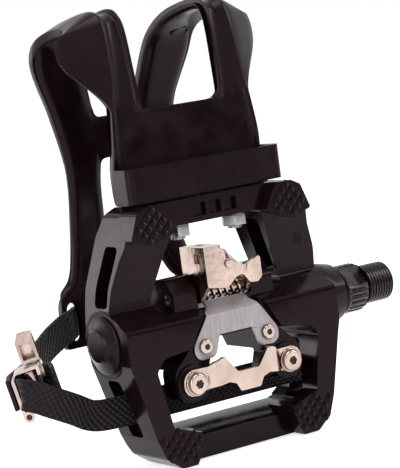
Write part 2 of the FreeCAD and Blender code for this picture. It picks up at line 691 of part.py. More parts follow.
def make_claw():
    """A bent sheet: two ears, and a raised bridge with two horns and a recessed lip."""
    body = new_body("fixed_claw")
    hole, down, seat, sheet = D.claw_hole_half, D.claw_hole_down, D.claw_seat, D.claw_sheet
    ear = D.claw_boss_radius - 1.4
    top = seat + sheet + D.claw_rise
    section = sketch_on(body, "top", -down - 7.0)
    upper = [(hole + ear + 1.0, -seat - sheet), (hole - 4.4, -seat - sheet, 1.5),
             (hole - 7.8, -top, 2.0)]
    under = [(-hole + 8.4, -top + sheet, 1.0), (-hole + 5.0, -seat, 1.0),
             (-hole - ear - 1.0, -seat)]
    outline(section, upper + mirrored(upper) + [under[2], under[1], under[0]]
            + mirrored([under[2], under[1], under[0]]))
    pad(body, section, 16.0)
    half = [
        (hole - 15.6, -down + 1.2, 1.8), (hole - 13.2, -down + 4.2, 1.2),
        (hole - 10.6, -down + 7.6, 1.2), (hole - 7.2, -down + 6.2, 1.0),
        (hole - 5.0, -down + ear - 0.2, 1.5), (hole + ear, -down + ear, ear - 0.6),
        (hole + ear, -down - ear, ear - 1.4), (hole - 7.0, -down - 2.2, 2.0),
        (hole - 11.4, -down - 1.6, 1.5), (hole - 14.2, -down - 2.6, 1.2),
        (hole - 15.8, -down - 5.6, 1.0)]
    blank = sketch_on(body, "front")
    far = D.half_width
    outline(blank, box_corners(-far, -far, far, far))
    outline(blank, half + mirrored(half))
    for side in (1, -1):
        ring(blank, side * hole, -down, D.claw_screw_radius + D.hole_ease)
    pocket(body, blank)
    return body


def make_screws(name, half, down, seat, radius, head_radius, head_height, length, socket):
    """Two screws as separate solids; each has a pan head with a socket."""
    solids = []
    for side in (1, -1):
        body = new_body("%s_%s" % (name, "right" if side == 1 else "left"), placed=True)
        parts.remove(body)
        sketch = sketch_on(body, "front", seat)
        ring(sketch, side * half, -down, head_radius)
        pad(body, sketch, head_height)
        round_edges(body, head_height * 0.45,
                    lambda middle, along, edge: middle.y < -float(seat + head_height) + 0.01)
        shank = sketch_on(body, "front", seat)
        ring(shank, side * half, -down, radius)
        pad(body, shank, length, back=True)
        top = sketch_on(body, "front", seat + head_height)
        outline(top, shifted(hexagon(socket), side * half, -down))
        pocket(body, top, head_height * 0.7)
        solids.append(body)
    return group(name, solids)


def group(name, bodies):
    """Several like pieces as separate solids of one node."""
    doc.recompute()
    made = doc.addObject("Part::Compound", name)
    made.Links = bodies
    made.Label = name
    parts.append(made)
    return made


def make_claw_fasteners():
    seat = D.claw_seat + D.claw_sheet
    washers = []
    for side in (1, -1):
        body = new_body("claw_washer_%s" % ("right" if side == 1 else "left"))
        parts.remove(body)
        sketch = sketch_on(body, "front", seat)
        ring(sketch, side * D.claw_hole_half, -D.claw_hole_down, D.claw_head_radius + 0.6)
        ring(sketch, side * D.claw_hole_half, -D.claw_hole_down, D.claw_screw_radius + D.hole_ease)
        pad(body, sketch, D.claw_washer)
        washers.append(body)
    group("claw_washers", washers)
    make_screws("claw_screws", D.claw_hole_half, D.claw_hole_down, seat + D.claw_washer,
                D.claw_screw_radius, D.claw_head_radius, D.claw_head_height,
                D.claw_screw_length, D.claw_head_radius * 0.8)


def make_cover_plate():
    body = new_body("cover_plate")
    ear = D.plate_ear
    hole, down = D.plate_hole_half, D.plate_hole_down
    plate = sketch_on(body, "front", D.seat_face)
    half = [(D.plate_fold_half, D.plate_fold_up), (hole + ear, -down + 1.0, ear - 0.6),
            (hole + ear, -down - ear, ear - 1.2), (hole - ear + 0.6, -down - ear + 0.4, ear - 1.8),
            (hole - ear - 1.8, -down + 3.0, 0.8)]
    outline(plate, half + mirrored(half))
    for side in (1, -1):
        ring(plate, side * hole, -down, D.plate_screw_radius + D.hole_ease)
    pad(body, plate, D.plate_sheet)
    face = D.seat_face + D.plate_sheet
    lip = D.jaw_half - D.jaw_sheet - 0.4
    wide = D.plate_fold_half - 0.2
    fold = sketch_on(body, "side", -wide)
    outline(fold, [(-face, D.plate_fold_up), (-D.seat_face, D.plate_fold_up - 0.3),
                   (-D.seat_face, D.plate_fold_up), (-D.plate_lip_front, D.plate_lip_up),
                   (-D.plate_lip_front - 0.7, D.plate_lip_up + 0.7)])
    pad(body, fold, wide * 2)
    taper = sketch_on(body, "front")
    side_cut = [(wide, D.plate_fold_up + 0.8), (lip, D.plate_fold_up + 2.8),
                (lip, D.lug_top), (wide + 1.0, D.lug_top), (wide + 1.0, D.plate_fold_up + 0.8)]
    outline(taper, side_cut)
    outline(taper, mirrored(side_cut))
    pocket(body, taper)
    return body


def make_jaw():
    body = new_body("spring_jaw")
    half, face, sheet = D.jaw_half, D.jaw_face, D.jaw_sheet
    low, top, wing, roof = D.jaw_low, D.jaw_top, D.jaw_wing, D.jaw_roof
    plate = sketch_on(body, "front", face - sheet)
    outline(plate, [
        (-half, low + 1.4, 1.0), (-half, roof, 1.6), (-half + 8.4, roof - 1.4, 2.6),
        (-half + 13.0, top - 0.6, 2.4), (6.0, top - 2.8, 2.2), (wing, top, 0.8),
        (wing, low + 1.6, 1.2), (wing - 2.0, low, 0.9), (wing - 5.2, low + 0.2, 1.6),
        (4.4, low + 3.8, 1.6), (1.6, low + 3.2, 1.6), (-2.4, low, 1.6)])
    pad(body, plate, sheet)
    pivot = [(-D.pivot_front + 3.6, D.pivot_up + 2.4, 2.0),
             (-D.pivot_front + 3.6, D.pivot_up - 3.0, 3.0),
             (-D.pivot_front - 3.6, D.pivot_up - 3.0, 3.0)]
    left = sketch_on(body, "side", -half)
    outline(left, [(-face, low + 1.8), (-face, roof - 1.6), (-face + 1.6, roof),
                   (-D.jaw_back, roof), (-D.jaw_back, roof - 7.6, 1.5)] + pivot)
    ring(left, -D.pivot_front, D.pivot_up, D.pivot_radius + D.running_gap)
    pad(body, left, sheet)
    right = sketch_on(body, "side", half - sheet)
    outline(right, [(-face, low + 1.8), (-face, top - 1.6), (-face + 3.4, top - 2.4, 1.5)] + pivot)
    ring(right, -D.pivot_front, D.pivot_up, D.pivot_radius + D.running_gap)
    pad(body, right, sheet)
    # hood over the tension screw: a roof with a hole and a window in its side wall
    hood = sketch_on(body, "top", roof - sheet)
    outline(hood, [(-half, -face), (-half, -D.jaw_back, 3.4), (D.hood_far, -D.jaw_back, 4.2),
                   (D.hood_far, -face + 0.4, 2.0), (D.hood_far - 2.0, -face)])
    ring(hood, D.tension_across, -D.tension_front, D.tension_head + D.running_gap)
    pad(body, hood, sheet)
    window = sketch_on(body, "side", -half)
    outline(window, box_corners(-face + 3.6, roof - 5.6, -face + 6.6, roof - 2.4))
    pocket(body, window, sheet, True)
    # rivet head on the front plate
    rivet = sketch_on(body, "front", face - 0.1)
    ring(rivet, -1.0, roof - 6.9, 1.5)
    pad(body, rivet, 0.8)
    return body


def make_jaw_parts():
    pin = new_body("jaw_pivot_pin")
    rod = sketch_on(pin, "side")
    ring(rod, -D.pivot_front, D.pivot_up, D.pivot_radius)
    pad(pin, rod, (D.lug_inner + D.lug_width) * 2, both=True)

    bolt = new_body("tension_bolt")
    across, front = D.tension_across, -D.tension_front
    head = sketch_on(bolt, "top", D.jaw_roof - D.tension_head_height)
    ring(head, across, front, D.tension_head)
    pad(bolt, head, D.tension_head_height)
    shank = sketch_on(bolt, "top", D.jaw_roof - D.tension_head_height)
    ring(shank, across, front, D.tension_radius)
    pad(bolt, shank, D.jaw_roof - D.tension_nut_up + D.tension_nut_height * 0.6, back=True)
    socket = sketch_on(bolt, "top", D.jaw_roof)
    outline(socket, shifted(hexagon(D.tension_head * 1.1), across, front))
    pocket(bolt, socket, D.tension_head_height * 0.8)

    nut = new_body("tension_plate")
    block = sketch_on(nut, "top", D.tension_nut_up - D.tension_nut_height)
    side = D.tension_nut_half
    outline(block, [(across + side, front - 4.4, 0.8), (across + side, front + 4.0, 0.8),
                    (across - side, front + 4.0, 0.8), (across - side, front - 4.4, 0.8)])
    ring(block, across, front, D.tension_radius + D.running_gap)
    pad(nut, block, D.tension_nut_height)

    coil = doc.addObject("Part::Feature", "jaw_spring")
    start = -float(D.jaw_half - D.jaw_sheet - 1.0)
    length = -2 * start
    axis = V(start - float(D.crank_face), -float(D.pivot_front), float(D.pivot_up))
    mean = float(D.spring_radius - D.spring_wire)
    helix = Part.makeHelix(length / float(D.spring_turns), length, mean)
    helix.Placement = FreeCAD.Placement(axis, FreeCAD.Rotation(V(0, 1, 0), 90))
    first = helix.Edges[0]
    along = first.tangentAt(first.FirstParameter)
    spot = first.valueAt(first.FirstParameter)
    circle = Part.Wire([Part.makeCircle(float(D.spring_wire), spot, along)])
    coil.Shape = Part.Wire(helix.Edges).makePipeShell([circle], True, True)
    coil.Label = "jaw_spring"
    parts.append(coil)


# Toe cage with its bolts, nuts, washers and bumper tray.

def make_cage():
    body = new_body("toe_cage")
    sheet = D.cage_sheet
    base, top = D.cage_base, D.cage_top
    # ribbon seen from the side: up the front, over the toe and down the back
    profile = sketch_on(body, "side")
    front = [-D.cage_front_low, -D.cage_front_mid, -D.cage_front_top]
    outline(profile, [
        (front[0], base), (front[1], D.cage_notch_up), (front[2], top, 9.0),
        (D.cage_back - 12.0, top - 4.0, 12.0), (D.cage_back - 4.6, D.cage_shoulder_up, 10.0),
        (D.cage_back, D.cage_notch_up), (D.cage_back_low, 27.0), (D.cage_back, -D.cage_tail),
        (D.cage_back - sheet, -D.cage_tail), (D.cage_back_low - sheet, 27.0),
        (D.cage_back - sheet, D.cage_notch_up - 1.0),
        (D.cage_back - 4.6 - sheet, D.cage_shoulder_up - 1.6, 8.0),
        (D.cage_back - 12.6, top - 4.0 - sheet, 9.0), (front[2] + sheet, top - sheet, 6.2),
        (front[1] + sheet, D.cage_notch_up), (front[0] + sheet, base)])
    pad(body, profile, D.tail_half * 2.2, both=True)
    wide = D.tail_half * 2
    # front strips: everything outside them and the opening between them
    cut = sketch_on(body, "front", -D.cage_front_low * 0 + 4.0)
    outer = [(D.cage_half, base - 4.0), (D.cage_half, D.tray_top, 8.0),
             (D.cage_top_half + 1.6, 92.0, 20.0), (D.cage_top_half - 4.4, top + 6.0)]
    outline(cut, outer + [(wide, top + 6.0), (wide, base - 4.0)])
    outline(cut, mirrored(outer) + [(-wide, base - 4.0), (-wide, top + 6.0)])
    notch = [(D.cage_notch_half, D.cage_notch_up, 3.0), (D.cage_notch_half + 1.6, top + 6.0)]
    outline(cut, notch + mirrored(notch))
    pocket(body, cut, D.cage_back * 0.5)
    # back strips
    rear = sketch_on(body, "front", -D.cage_back * 0.5 - 8.0)
    outer = [(D.tail_half, -D.cage_tail - 2.0), (D.tail_half, 4.0, 6.0), (26.8, 16.0, 20.0),
             (22.4, 40.0, 30.0), (22.6, 64.0, 30.0), (27.6, 80.0, 20.0), (33.8, 93.0, 6.0),
             (33.8, 98.0, 2.0), (27.0, top + 8.0)]
    outline(rear, outer + [(wide, top + 8.0), (wide, -D.cage_tail - 2.0)])
    outline(rear, mirrored(outer) + [(-wide, -D.cage_tail - 2.0), (-wide, top + 8.0)])
    low = [(D.tail_inner_half, -D.cage_tail - 2.0), (D.tail_inner_half, 2.0, 6.0),
           (12.0, 26.0, 16.0), (9.0, 40.0, 20.0), (9.6, 59.5, 3.5)]
    outline(rear, low + mirrored(low))
    high = [(8.6, 74.5, 3.5), (12.4, 90.0, 20.0), (17.0, 102.0, 10.0), (16.4, top + 8.0)]
    outline(rear, high + mirrored(high))
    for side in (1, -1):
        outline(rear, box_corners(side * D.tail_slot_in, -D.tail_slot_low,
                                  side * D.tail_slot_out, D.tail_slot_top))
    pocket(body, rear, D.cage_back)
    # over the toe
    over = sketch_on(body, "top", top + 4.0)
    middle = [(D.cage_notch_half + 1.6, 8.0), (16.2, 26.0, 12.0), (16.2, 34.0)]
    outline(over, middle + mirrored(middle))
    for side in (1, -1):
        outline(over, [(side * wide, 10.0), (side * (D.cage_top_half - 1.6), 10.0),
                       (side * (D.cage_top_half + 1.4), 22.0), (side * 30.0, 32.0),
                       (side * wide, 32.0)])
    pocket(body, over, 26.0)
    # foot that the bolts clamp
    foot = sketch_on(body, "top", base)
    outline(foot, box_corners(-D.tray_half + 6.0, front[0] + 1.0, D.tray_half - 6.0,
                              -D.tray_front + D.tray_wall + 0.4))
    pad(body, foot, D.cage_flange)
    bolts = sketch_on(body, "top", base + D.cage_flange)
    for side in (1, -1):
        ring(bolts, side * D.cage_bolt_half, -D.cage_bolt_front, D.cage_bolt_radius + D.hole_ease)
    pocket(body, bolts, D.cage_flange * 3)
    return body


def make_tray():
    """The bumper tray: a wall and two ends that hide the bolt heads."""
    body = new_body("cage_bumper")
    low = D.cage_base + D.cage_flange + 0.05
    back = D.cage_front_low + 0.05
    plan = sketch_on(body, "top", D.tray_low)
    outline(plan, [(D.tray_half, -back), (D.tray_half, -D.tray_front, D.tray_round / 2),
                   (-D.tray_half, -D.tray_front, D.tray_round / 2), (-D.tray_half, -back)])
    pad(body, plan, D.tray_top - D.tray_low)
    hollow = sketch_on(body, "top", low + D.tray_floor)
    inner = D.tray_half - D.tray_wall * 2
    outline(hollow, box_corners(-inner, -D.tray_front + D.tray_wall, inner, -back + 1.0))
    pocket(body, hollow, D.tray_top, True)
    under = sketch_on(body, "top", low)
    outline(under, box_corners(-D.tray_half + 5.8, -D.tray_front + D.tray_wall + 0.2,
                               D.tray_half - 5.8, -back + 1.0))
    pocket(body, under, D.tray_top)
    heads = sketch_on(body, "top", low + D.tray_floor + 0.5)
    for side in (1, -1):
        ring(heads, side * D.cage_bolt_half, -D.cage_bolt_front, D.cage_head_radius + D.hole_ease)
    pocket(body, heads, D.tray_floor * 3)
    return body


def make_cage_fasteners():
    seat = D.cage_base + D.cage_flange
    floor = D.bar_front_low - D.cage_washer_height
    nut_low = floor - D.cage_nut_height
    bolts, washers, nuts = [], [], []
    for side, word in ((1, "right"), (-1, "left")):
        at = side * D.cage_bolt_half
        bolt = new_body("cage_bolt_%s" % word)
        head = sketch_on(bolt, "top", seat)
        ring(head, at, -D.cage_bolt_front, D.cage_head_radius)
        pad(bolt, head, D.cage_head_height)
        shank = sketch_on(bolt, "top", seat)
        ring(shank, at, -D.cage_bolt_front, D.cage_bolt_radius)
        pad(bolt, shank, seat - nut_low + D.cage_bolt_tip - D.cage_nut_height, back=True)
        washer = new_body("cage_washer_%s" % word)
        rim = sketch_on(washer, "top", floor)
        ring(rim, at, -D.cage_bolt_front, D.cage_washer_radius)
        ring(rim, at, -D.cage_bolt_front, D.cage_bolt_radius + 0.1)
        pad(washer, rim, D.cage_washer_height)
        nut = new_body("cage_nut_%s" % word)
        block = sketch_on(nut, "top", nut_low)
        outline(block, shifted(hexagon(D.cage_nut_flats), at, -D.cage_bolt_front))
        ring(block, at, -D.cage_bolt_front, D.cage_bolt_radius + 0.02)
        pad(nut, block, D.cage_nut_height)
        for made, kind in ((bolt, bolts), (washer, washers), (nut, nuts)):
            parts.remove(made)
            kind.append(made)
    group("cage_bolts", bolts)
    group("cage_washers", washers)
    group("cage_nuts", nuts)


# Strap buckle. Its own X runs along the strap, Y from the outer plate to the foot and Z across.

def buckle_placement():
    """Where the buckle lies: turned out from the pedal and tilted with the strap."""
    turned = FreeCAD.Rotation(V(0, 0, 1), float(90 - D.buckle_turn))
    view = V(math.sin(math.radians(float(D.buckle_turn))),
             math.cos(math.radians(float(D.buckle_turn))), 0)
    tilted = FreeCAD.Rotation(view, -float(D.buckle_tilt))
    base = V(float(D.buckle_across - D.crank_face), -float(D.buckle_front), float(D.buckle_up))
    flip = FreeCAD.Rotation(V(1, 0, 0), 180)
    return FreeCAD.Placement(base, tilted.multiply(turned).multiply(flip))


def place_buckle(body):
    body.Placement = buckle_placement()
    tie(body, "Placement.Base.x", D.buckle_across - D.crank_face)
    tie(body, "Placement.Base.y", -D.buckle_front)
    tie(body, "Placement.Base.z", D.buckle_up)


def make_buckle():
    half, sheet = D.buckle_half, D.buckle_sheet
    long = D.buckle_length / 2
    shell = new_body("buckle_frame", placed=False)
    section = sketch_on(shell, "side", -long)
    outline(section, [(0.0, half - 0.0), (0.0, -half + sheet, 3.0), (D.buckle_depth - 2.0, -half),
                      (D.buckle_depth, -half), (D.buckle_depth, -half + sheet),
                      (D.buckle_depth - 2.0, -half + sheet), (sheet, -half + sheet, 2.0),
                      (sheet, half - sheet), (D.buckle_depth, half - sheet),
                      (D.buckle_depth, half)])
    pad(shell, section, long * 2)
    cheek = sketch_on(shell, "side", -long)
    outline(cheek, box_corners(D.buckle_depth - 0.1, -half, D.buckle_depth + 1.0,
                               -half + D.cheek_length))
    pad(shell, cheek, long + 0.6)
    barrel = sketch_on(shell, "side", -long)
    ring(barrel, D.barrel_radius, half + D.barrel_radius - sheet, D.barrel_radius)
    pad(shell, barrel, long * 1.2)
    bored = sketch_on(shell, "side", -long)
    ring(bored, D.barrel_radius, half + D.barrel_radius - sheet, D.barrel_bore)
    pocket(shell, bored, long, True)
    pins = sketch_on(shell, "top")
    ring(pins, D.roller_along, D.roller_depth, D.buckle_pin_radius)
    ring(pins, D.lever_along, D.lever_depth, D.buckle_pin_radius)
    pocket(shell, pins)
    place_buckle(shell)

    roller = new_body("buckle_roller", placed=False)
    tube = sketch_on(roller, "top")
    ring(tube, D.roller_along, D.roller_depth, D.roller_radius)
    ring(tube, D.roller_along, D.roller_depth, D.roller_bore)
    pad(roller, tube, (half - sheet - D.roller_end_gap) * 2, both=True)
    place_buckle(roller)

    pins = []
    for name, along, depth in (("roller_pin", D.roller_along, D.roller_depth),
                               ("lever_pin", D.lever_along, D.lever_depth)):
        pin = new_body(name, placed=False)
        rod = sketch_on(pin, "top")
        ring(rod, along, depth, D.buckle_pin_radius)
        pad(pin, rod, half * 2, both=True)
        place_buckle(pin)
        pins.append(pin)

    lever = new_body("buckle_lever", placed=False)
    cam = sketch_on(lever, "top", -half + sheet + D.roller_end_gap)
    outline(cam, [(D.lever_along - 1.9, D.lever_depth - 1.9, 1.0),
                  (D.lever_along + 2.4, D.lever_depth - 1.9, 1.8),
                  (D.lever_along + 2.4, D.buckle_depth + 1.6, 0.6),
                  (D.lever_along - 1.9, D.buckle_depth + 1.6, 0.6)])
    ring(cam, D.lever_along, D.lever_depth, D.buckle_pin_radius + D.running_gap)
    pad(lever, cam, (half - sheet - D.roller_end_gap) * 2)
    neck = sketch_on(lever, "top", -half - 1.5)
    outline(neck, box_corners(D.lever_along - 1.9, D.buckle_depth + 0.8, D.lever_along + 2.4,
                              D.buckle_depth + 1.6))
    pad(lever, neck, half * 1.4)
    tab = sketch_on(lever, "front", -D.buckle_depth - 1.6)
    top = -half - 0.5
    tab_end = top - D.lever_length
    side = D.lever_half
    outline(tab, [(D.lever_along - side, top), (D.lever_along + side, top),
                  (D.lever_along + side - 0.4, top - D.lever_length * 0.6),
                  (D.lever_along, tab_end, 0.5),
                  (D.lever_along - side + 0.4, top - D.lever_length * 0.6)])
    pad(lever, tab, D.lever_base)
    inside = sketch_on(lever, "front", -D.buckle_depth - 1.6 + D.lever_sheet)
    outline(inside, [(D.lever_along - side - 1.0, top - D.lever_sheet),
                     (D.lever_along + side - 1.0, top - D.lever_sheet),
                     (D.lever_along + side - 1.4, top - D.lever_length * 0.6),
                     (D.lever_along - side - 0.6, top - D.lever_length * 0.6)])
    pocket(lever, inside, D.lever_base - D.lever_sheet * 2, True)
    slant = sketch_on(lever, "side")
    outline(slant, [(D.buckle_depth + 1.6 - D.lever_base * 0.62, tab_end - 1.0),
                    (D.buckle_depth - D.lever_base, tab_end - 1.0),
                    (D.buckle_depth - D.lever_base, top - D.lever_length * 0.45)])
    pocket(lever, slant)
    place_buckle(lever)


# Strap: one band from the buckle, through the cage tails and both arms, back to the buckle.

def strap_route():
    """Middle line of the strap in the pedal's own frame, and the direction across it."""
    place = buckle_placement()
    shift = V(float(D.crank_face), 0, 0)
    up = place.Rotation.multVec(V(0, 0, -1))

    def at_buckle(along, depth):
        return place.multVec(V(along, depth, 0)) + shift

    gap = float(D.buckle_sheet) + (float(D.roller_depth - D.roller_radius - D.buckle_sheet)) / 2
    outside = -float(D.strap_thick) * 0.5 - 0.5
    fold = float(D.strap_thick) + outside - 1.5
    long = float(D.buckle_length) / 2
    upright = V(0, 0, 1)
    route = [(at_buckle(-long + 1.0, outside), up), (at_buckle(0, fold), up),
             (at_buckle(long + 1.0, outside), up),
             (V(-62.0, 26.0, -9.5), up), (V(-53.0, 34.0, -6.2), upright),
             (V(-44.0, 39.6, -2.4), upright), (V(-36.5, 42.2, 0.6), upright)]
    tail = (float(D.tail_slot_in) + float(D.tail_slot_out)) / 2
    back = float(D.cage_back)
    level = 2.2
    near = [(tail + 3.0, back - 3.8), (tail, back - 0.7), (tail - 3.0, back + 2.9),
            (tail - 8.0, back + 4.2)]
    route += [(V(-across, depth, level), upright) for across, depth in near]
    route.append((V(0, back + 4.8, level), upright))
    route += [(V(across, depth, level), upright) for across, depth in reversed(near)]
    slot_up = -(float(D.slot_near) + float(D.slot_far)) / 2 - 0.5
    slot_front = -float(D.slot_low_front) - float(D.slot_width + D.slot_shift) / 2 + 0.6
    half = float(D.half_width)
    route += [(V(36.5, 42.2, 0.6), upright), (V(44.0, 37.0, -4.0), upright),
              (V(49.4, 26.0, -11.0), upright), (V(50.0, 13.0, -18.0), upright),
              (V(47.0, 4.4, slot_up + 1.4), upright),
              (V(half - 3.0, slot_front + 0.8, slot_up), upright),
              (V(half - 9.0, slot_front, slot_up), upright), (V(0, slot_front, slot_up), upright),
              (V(-half + 9.0, slot_front, slot_up), upright),
              (V(-half + 2.0, slot_front, slot_up), upright),
              (V(-half - 8.0, 0.0, slot_up + 0.8), upright),
              (V(-60.0, -0.2, -18.6), upright), (V(-64.5, 0.3, -16.2), upright),
              (V(-67.6, 1.0, -14.6), upright)]
    lead = at_buckle(-long - 1.0, gap)
    route += [(V(-71.0, 2.4, -12.6), up), (lead + V(-0.6, -1.6, 0), up),
              (at_buckle(-long + 1.4, gap), up), (at_buckle(0, gap), up),
              (at_buckle(long, gap), up), (at_buckle(long + 2.6, gap + 2.0), up),
              (at_buckle(long + 3.0, gap + 6.4), up), (at_buckle(long, gap + 9.6), up),
              (at_buckle(long - 7.0, gap + 11.4), up), (at_buckle(-long, gap + 11.8), up)]
    return route


def make_strap():
    """Rectangles across the route, joined by a ruled loft."""
    route = strap_route()
    half, thick = float(D.strap_width) / 2, float(D.strap_thick) / 2
    sections = []
    for i, (point, across) in enumerate(route):
        before = route[max(i - 1, 0)][0]
        after = route[min(i + 1, len(route) - 1)][0]
        arriving = (point - before).normalize() if i > 0 else V(0, 0, 0)
        leaving = (after - point).normalize() if i < len(route) - 1 else V(0, 0, 0)
        along = (arriving + leaving).normalize()
        side = (across - along * across.dot(along)).normalize()
        out = along.cross(side)
        corners = [point + side * half + out * thick, point + side * half - out * thick,
                   point - side * half - out * thick, point - side * half + out * thick]
        sections.append(Part.makePolygon(corners + [corners[0]]))
    strap = doc.addObject("Part::Feature", "strap")
    strap.Shape = Part.makeLoft(sections, True, True)
    strap.Placement = FreeCAD.Placement(V(-float(D.crank_face), 0, 0), FreeCAD.Rotation())
    strap.Label = "strap"
    parts.append(strap)


def export_parts():
    """Checks every object and writes each sub-part to its own file."""
    doc.recompute()
    for made in doc.Objects:
        if "Invalid" in made.State or "Error" in made.State:
            raise RuntimeError("%s failed: %s" % (made.Label, made.State))
    os.makedirs("parts", exist_ok=True)
    for made in parts:
        shape = made.Shape
        if shape.isNull() or not shape.isValid() or not shape.Solids:
            raise RuntimeError("%s has no valid solid" % made.Label)
        shape.exportStep("parts/%s.step" % made.Label)
        print("%s: %d solid(s), %.1f mm3" % (made.Label, len(shape.Solids), shape.Volume))


make_spindle()
make_bearing_set()
make_frame()
make_dust_cap()
make_claw()
make_claw_fasteners()
make_cover_plate()
make_screws("cover_screws", D.plate_hole_half, D.plate_hole_down, D.seat_face + D.plate_sheet,
            D.plate_screw_radius, D.plate_head_radius, D.plate_head_height,
            D.plate_screw_length - 1.0, D.plate_head_radius * 0.8)
make_jaw()
make_jaw_parts()
make_cage()
make_tray()
make_cage_fasteners()
make_buckle()
make_strap()
export_parts()
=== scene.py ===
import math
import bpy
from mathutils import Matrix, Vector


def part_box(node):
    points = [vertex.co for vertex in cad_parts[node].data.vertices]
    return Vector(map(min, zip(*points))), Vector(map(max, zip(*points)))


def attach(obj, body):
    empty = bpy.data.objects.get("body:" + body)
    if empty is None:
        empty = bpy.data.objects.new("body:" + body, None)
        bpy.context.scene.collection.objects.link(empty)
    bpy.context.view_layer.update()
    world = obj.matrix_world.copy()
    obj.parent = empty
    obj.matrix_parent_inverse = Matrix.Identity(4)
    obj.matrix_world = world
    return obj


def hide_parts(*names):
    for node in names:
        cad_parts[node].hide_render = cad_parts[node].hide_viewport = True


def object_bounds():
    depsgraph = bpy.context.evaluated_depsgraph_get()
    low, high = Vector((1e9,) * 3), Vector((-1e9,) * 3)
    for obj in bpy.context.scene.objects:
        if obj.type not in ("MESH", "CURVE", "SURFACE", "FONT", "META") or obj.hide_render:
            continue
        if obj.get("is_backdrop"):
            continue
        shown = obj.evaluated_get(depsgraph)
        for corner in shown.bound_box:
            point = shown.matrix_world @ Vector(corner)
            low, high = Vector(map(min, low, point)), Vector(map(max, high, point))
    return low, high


bl_info = {
    "name": "Toe Clip Pedal",
    "version": (1, 0, 0),
    "blender": (4, 5, 0),
    "location": "3D View > Sidebar > Pedal",
    "description": "Builds the visible pieces and finishes of a toe clip pedal",
    "category": "Object",
}

from collections import namedtuple

import bmesh
import bpy
from bpy.props import FloatProperty, FloatVectorProperty, PointerProperty
from mathutils import Matrix, Vector

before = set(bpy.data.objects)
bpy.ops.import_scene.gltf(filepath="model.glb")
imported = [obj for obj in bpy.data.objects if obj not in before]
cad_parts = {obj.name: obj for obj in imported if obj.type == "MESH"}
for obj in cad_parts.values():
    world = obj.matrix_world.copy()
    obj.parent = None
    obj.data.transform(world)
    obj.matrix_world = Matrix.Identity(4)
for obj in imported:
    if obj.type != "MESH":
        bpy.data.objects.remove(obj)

MM = 0.001
# millimetres from the pedal's middle to the shoulder that meets the crank
CRANK_FACE = 65.6
# metres within which two points are one
SAME_POINT = 1e-6


def point(across, out, up):
    """A point of the model from millimetres across, out of the cleat face and up."""
    return Vector((across - CRANK_FACE, -out, up)) * MM


# ---------------------------------------------------------------- settings

def colour(name, description, default):
    """A colour that a user can change."""
    return FloatVectorProperty(name=name, description=description, subtype="COLOR",
                               size=3, min=0.0, max=1.0, default=default)


def length(name, description, default):
    """A length in metres that a user can change."""
    return FloatProperty(name=name, description=description, default=default,
                         min=0.0, unit="LENGTH", precision=5)


class PedalColours(bpy.types.PropertyGroup):
    """The base colour of each finish"""
    paint: colour("Paint", "Gloss black paint of the body", (0.0072, 0.0028, 0.0042))
    plastic: colour("Plastic", "Moulded black of the toe cage and cap", (0.0070, 0.0028, 0.0042))
    nickel: colour("Nickel", "Warm bright plating of the claws and buckle", (0.50, 0.385, 0.335))
    zinc: colour("Zinc", "Cold plating of the cage bolts and nuts", (0.34, 0.34, 0.36))
    plate: colour("Cover plate", "Satin sheet steel over the cleat bed", (0.34, 0.31, 0.33))
    bearing: colour("Bearing steel", "Ground steel of the balls and cups", (0.60, 0.60, 0.62))
    spindle: colour("Spindle", "Black oiled steel of the spindle", (0.008, 0.0055, 0.0065))
    rubber: colour("Rubber", "Spindle seal", (0.018, 0.017, 0.018))
    webbing: colour("Webbing", "Woven strap", (0.0050, 0.0040, 0.0050))
    floor: colour("Floor", "Pale floor under the pedal", (0.86, 0.86, 0.86))


class PedalSizes(bpy.types.PropertyGroup):
    """The fine sizes that only the visual model has"""
    edge: length("Edge", "Rounding on the cast edges", 0.0005)
    fine_edge: length("Fine edge", "Rounding on small metal edges", 0.00022)
    claw_edge: length("Claw edge", "Rounding on the claw, jaw and plate", 0.00045)
    cage_sheet: length("Cage sheet", "Thickness of the toe cage", 0.0028)
    cage_bead: length("Cage bead", "Height of the rim along the cage's edges", 0.0015)
    knurl_pitch: length("Knurl pitch", "Distance between the diamonds of a pad", 0.0029)
    knurl_height: length("Knurl height", "Height of the diamonds", 0.0009)
    strap_width: length("Strap width", "Width of the webbing", 0.0106)
    strap_thickness: length("Strap thickness", "Thickness of the webbing", 0.0015)
    thread_pitch: length("Thread pitch", "Pitch of the crank thread", 0.00127)


# --------------------------------------------------------------- materials

def calculate(tree, operation, *values):
    """The output of a Math node fed by sockets and numbers."""
    node = tree.nodes.new("ShaderNodeMath")
    node.operation = operation
    for socket, value in zip(node.inputs, values):
        if isinstance(value, bpy.types.NodeSocket):
            tree.links.new(value, socket)
        else:
            socket.default_value = value
    return node.outputs["Value"]


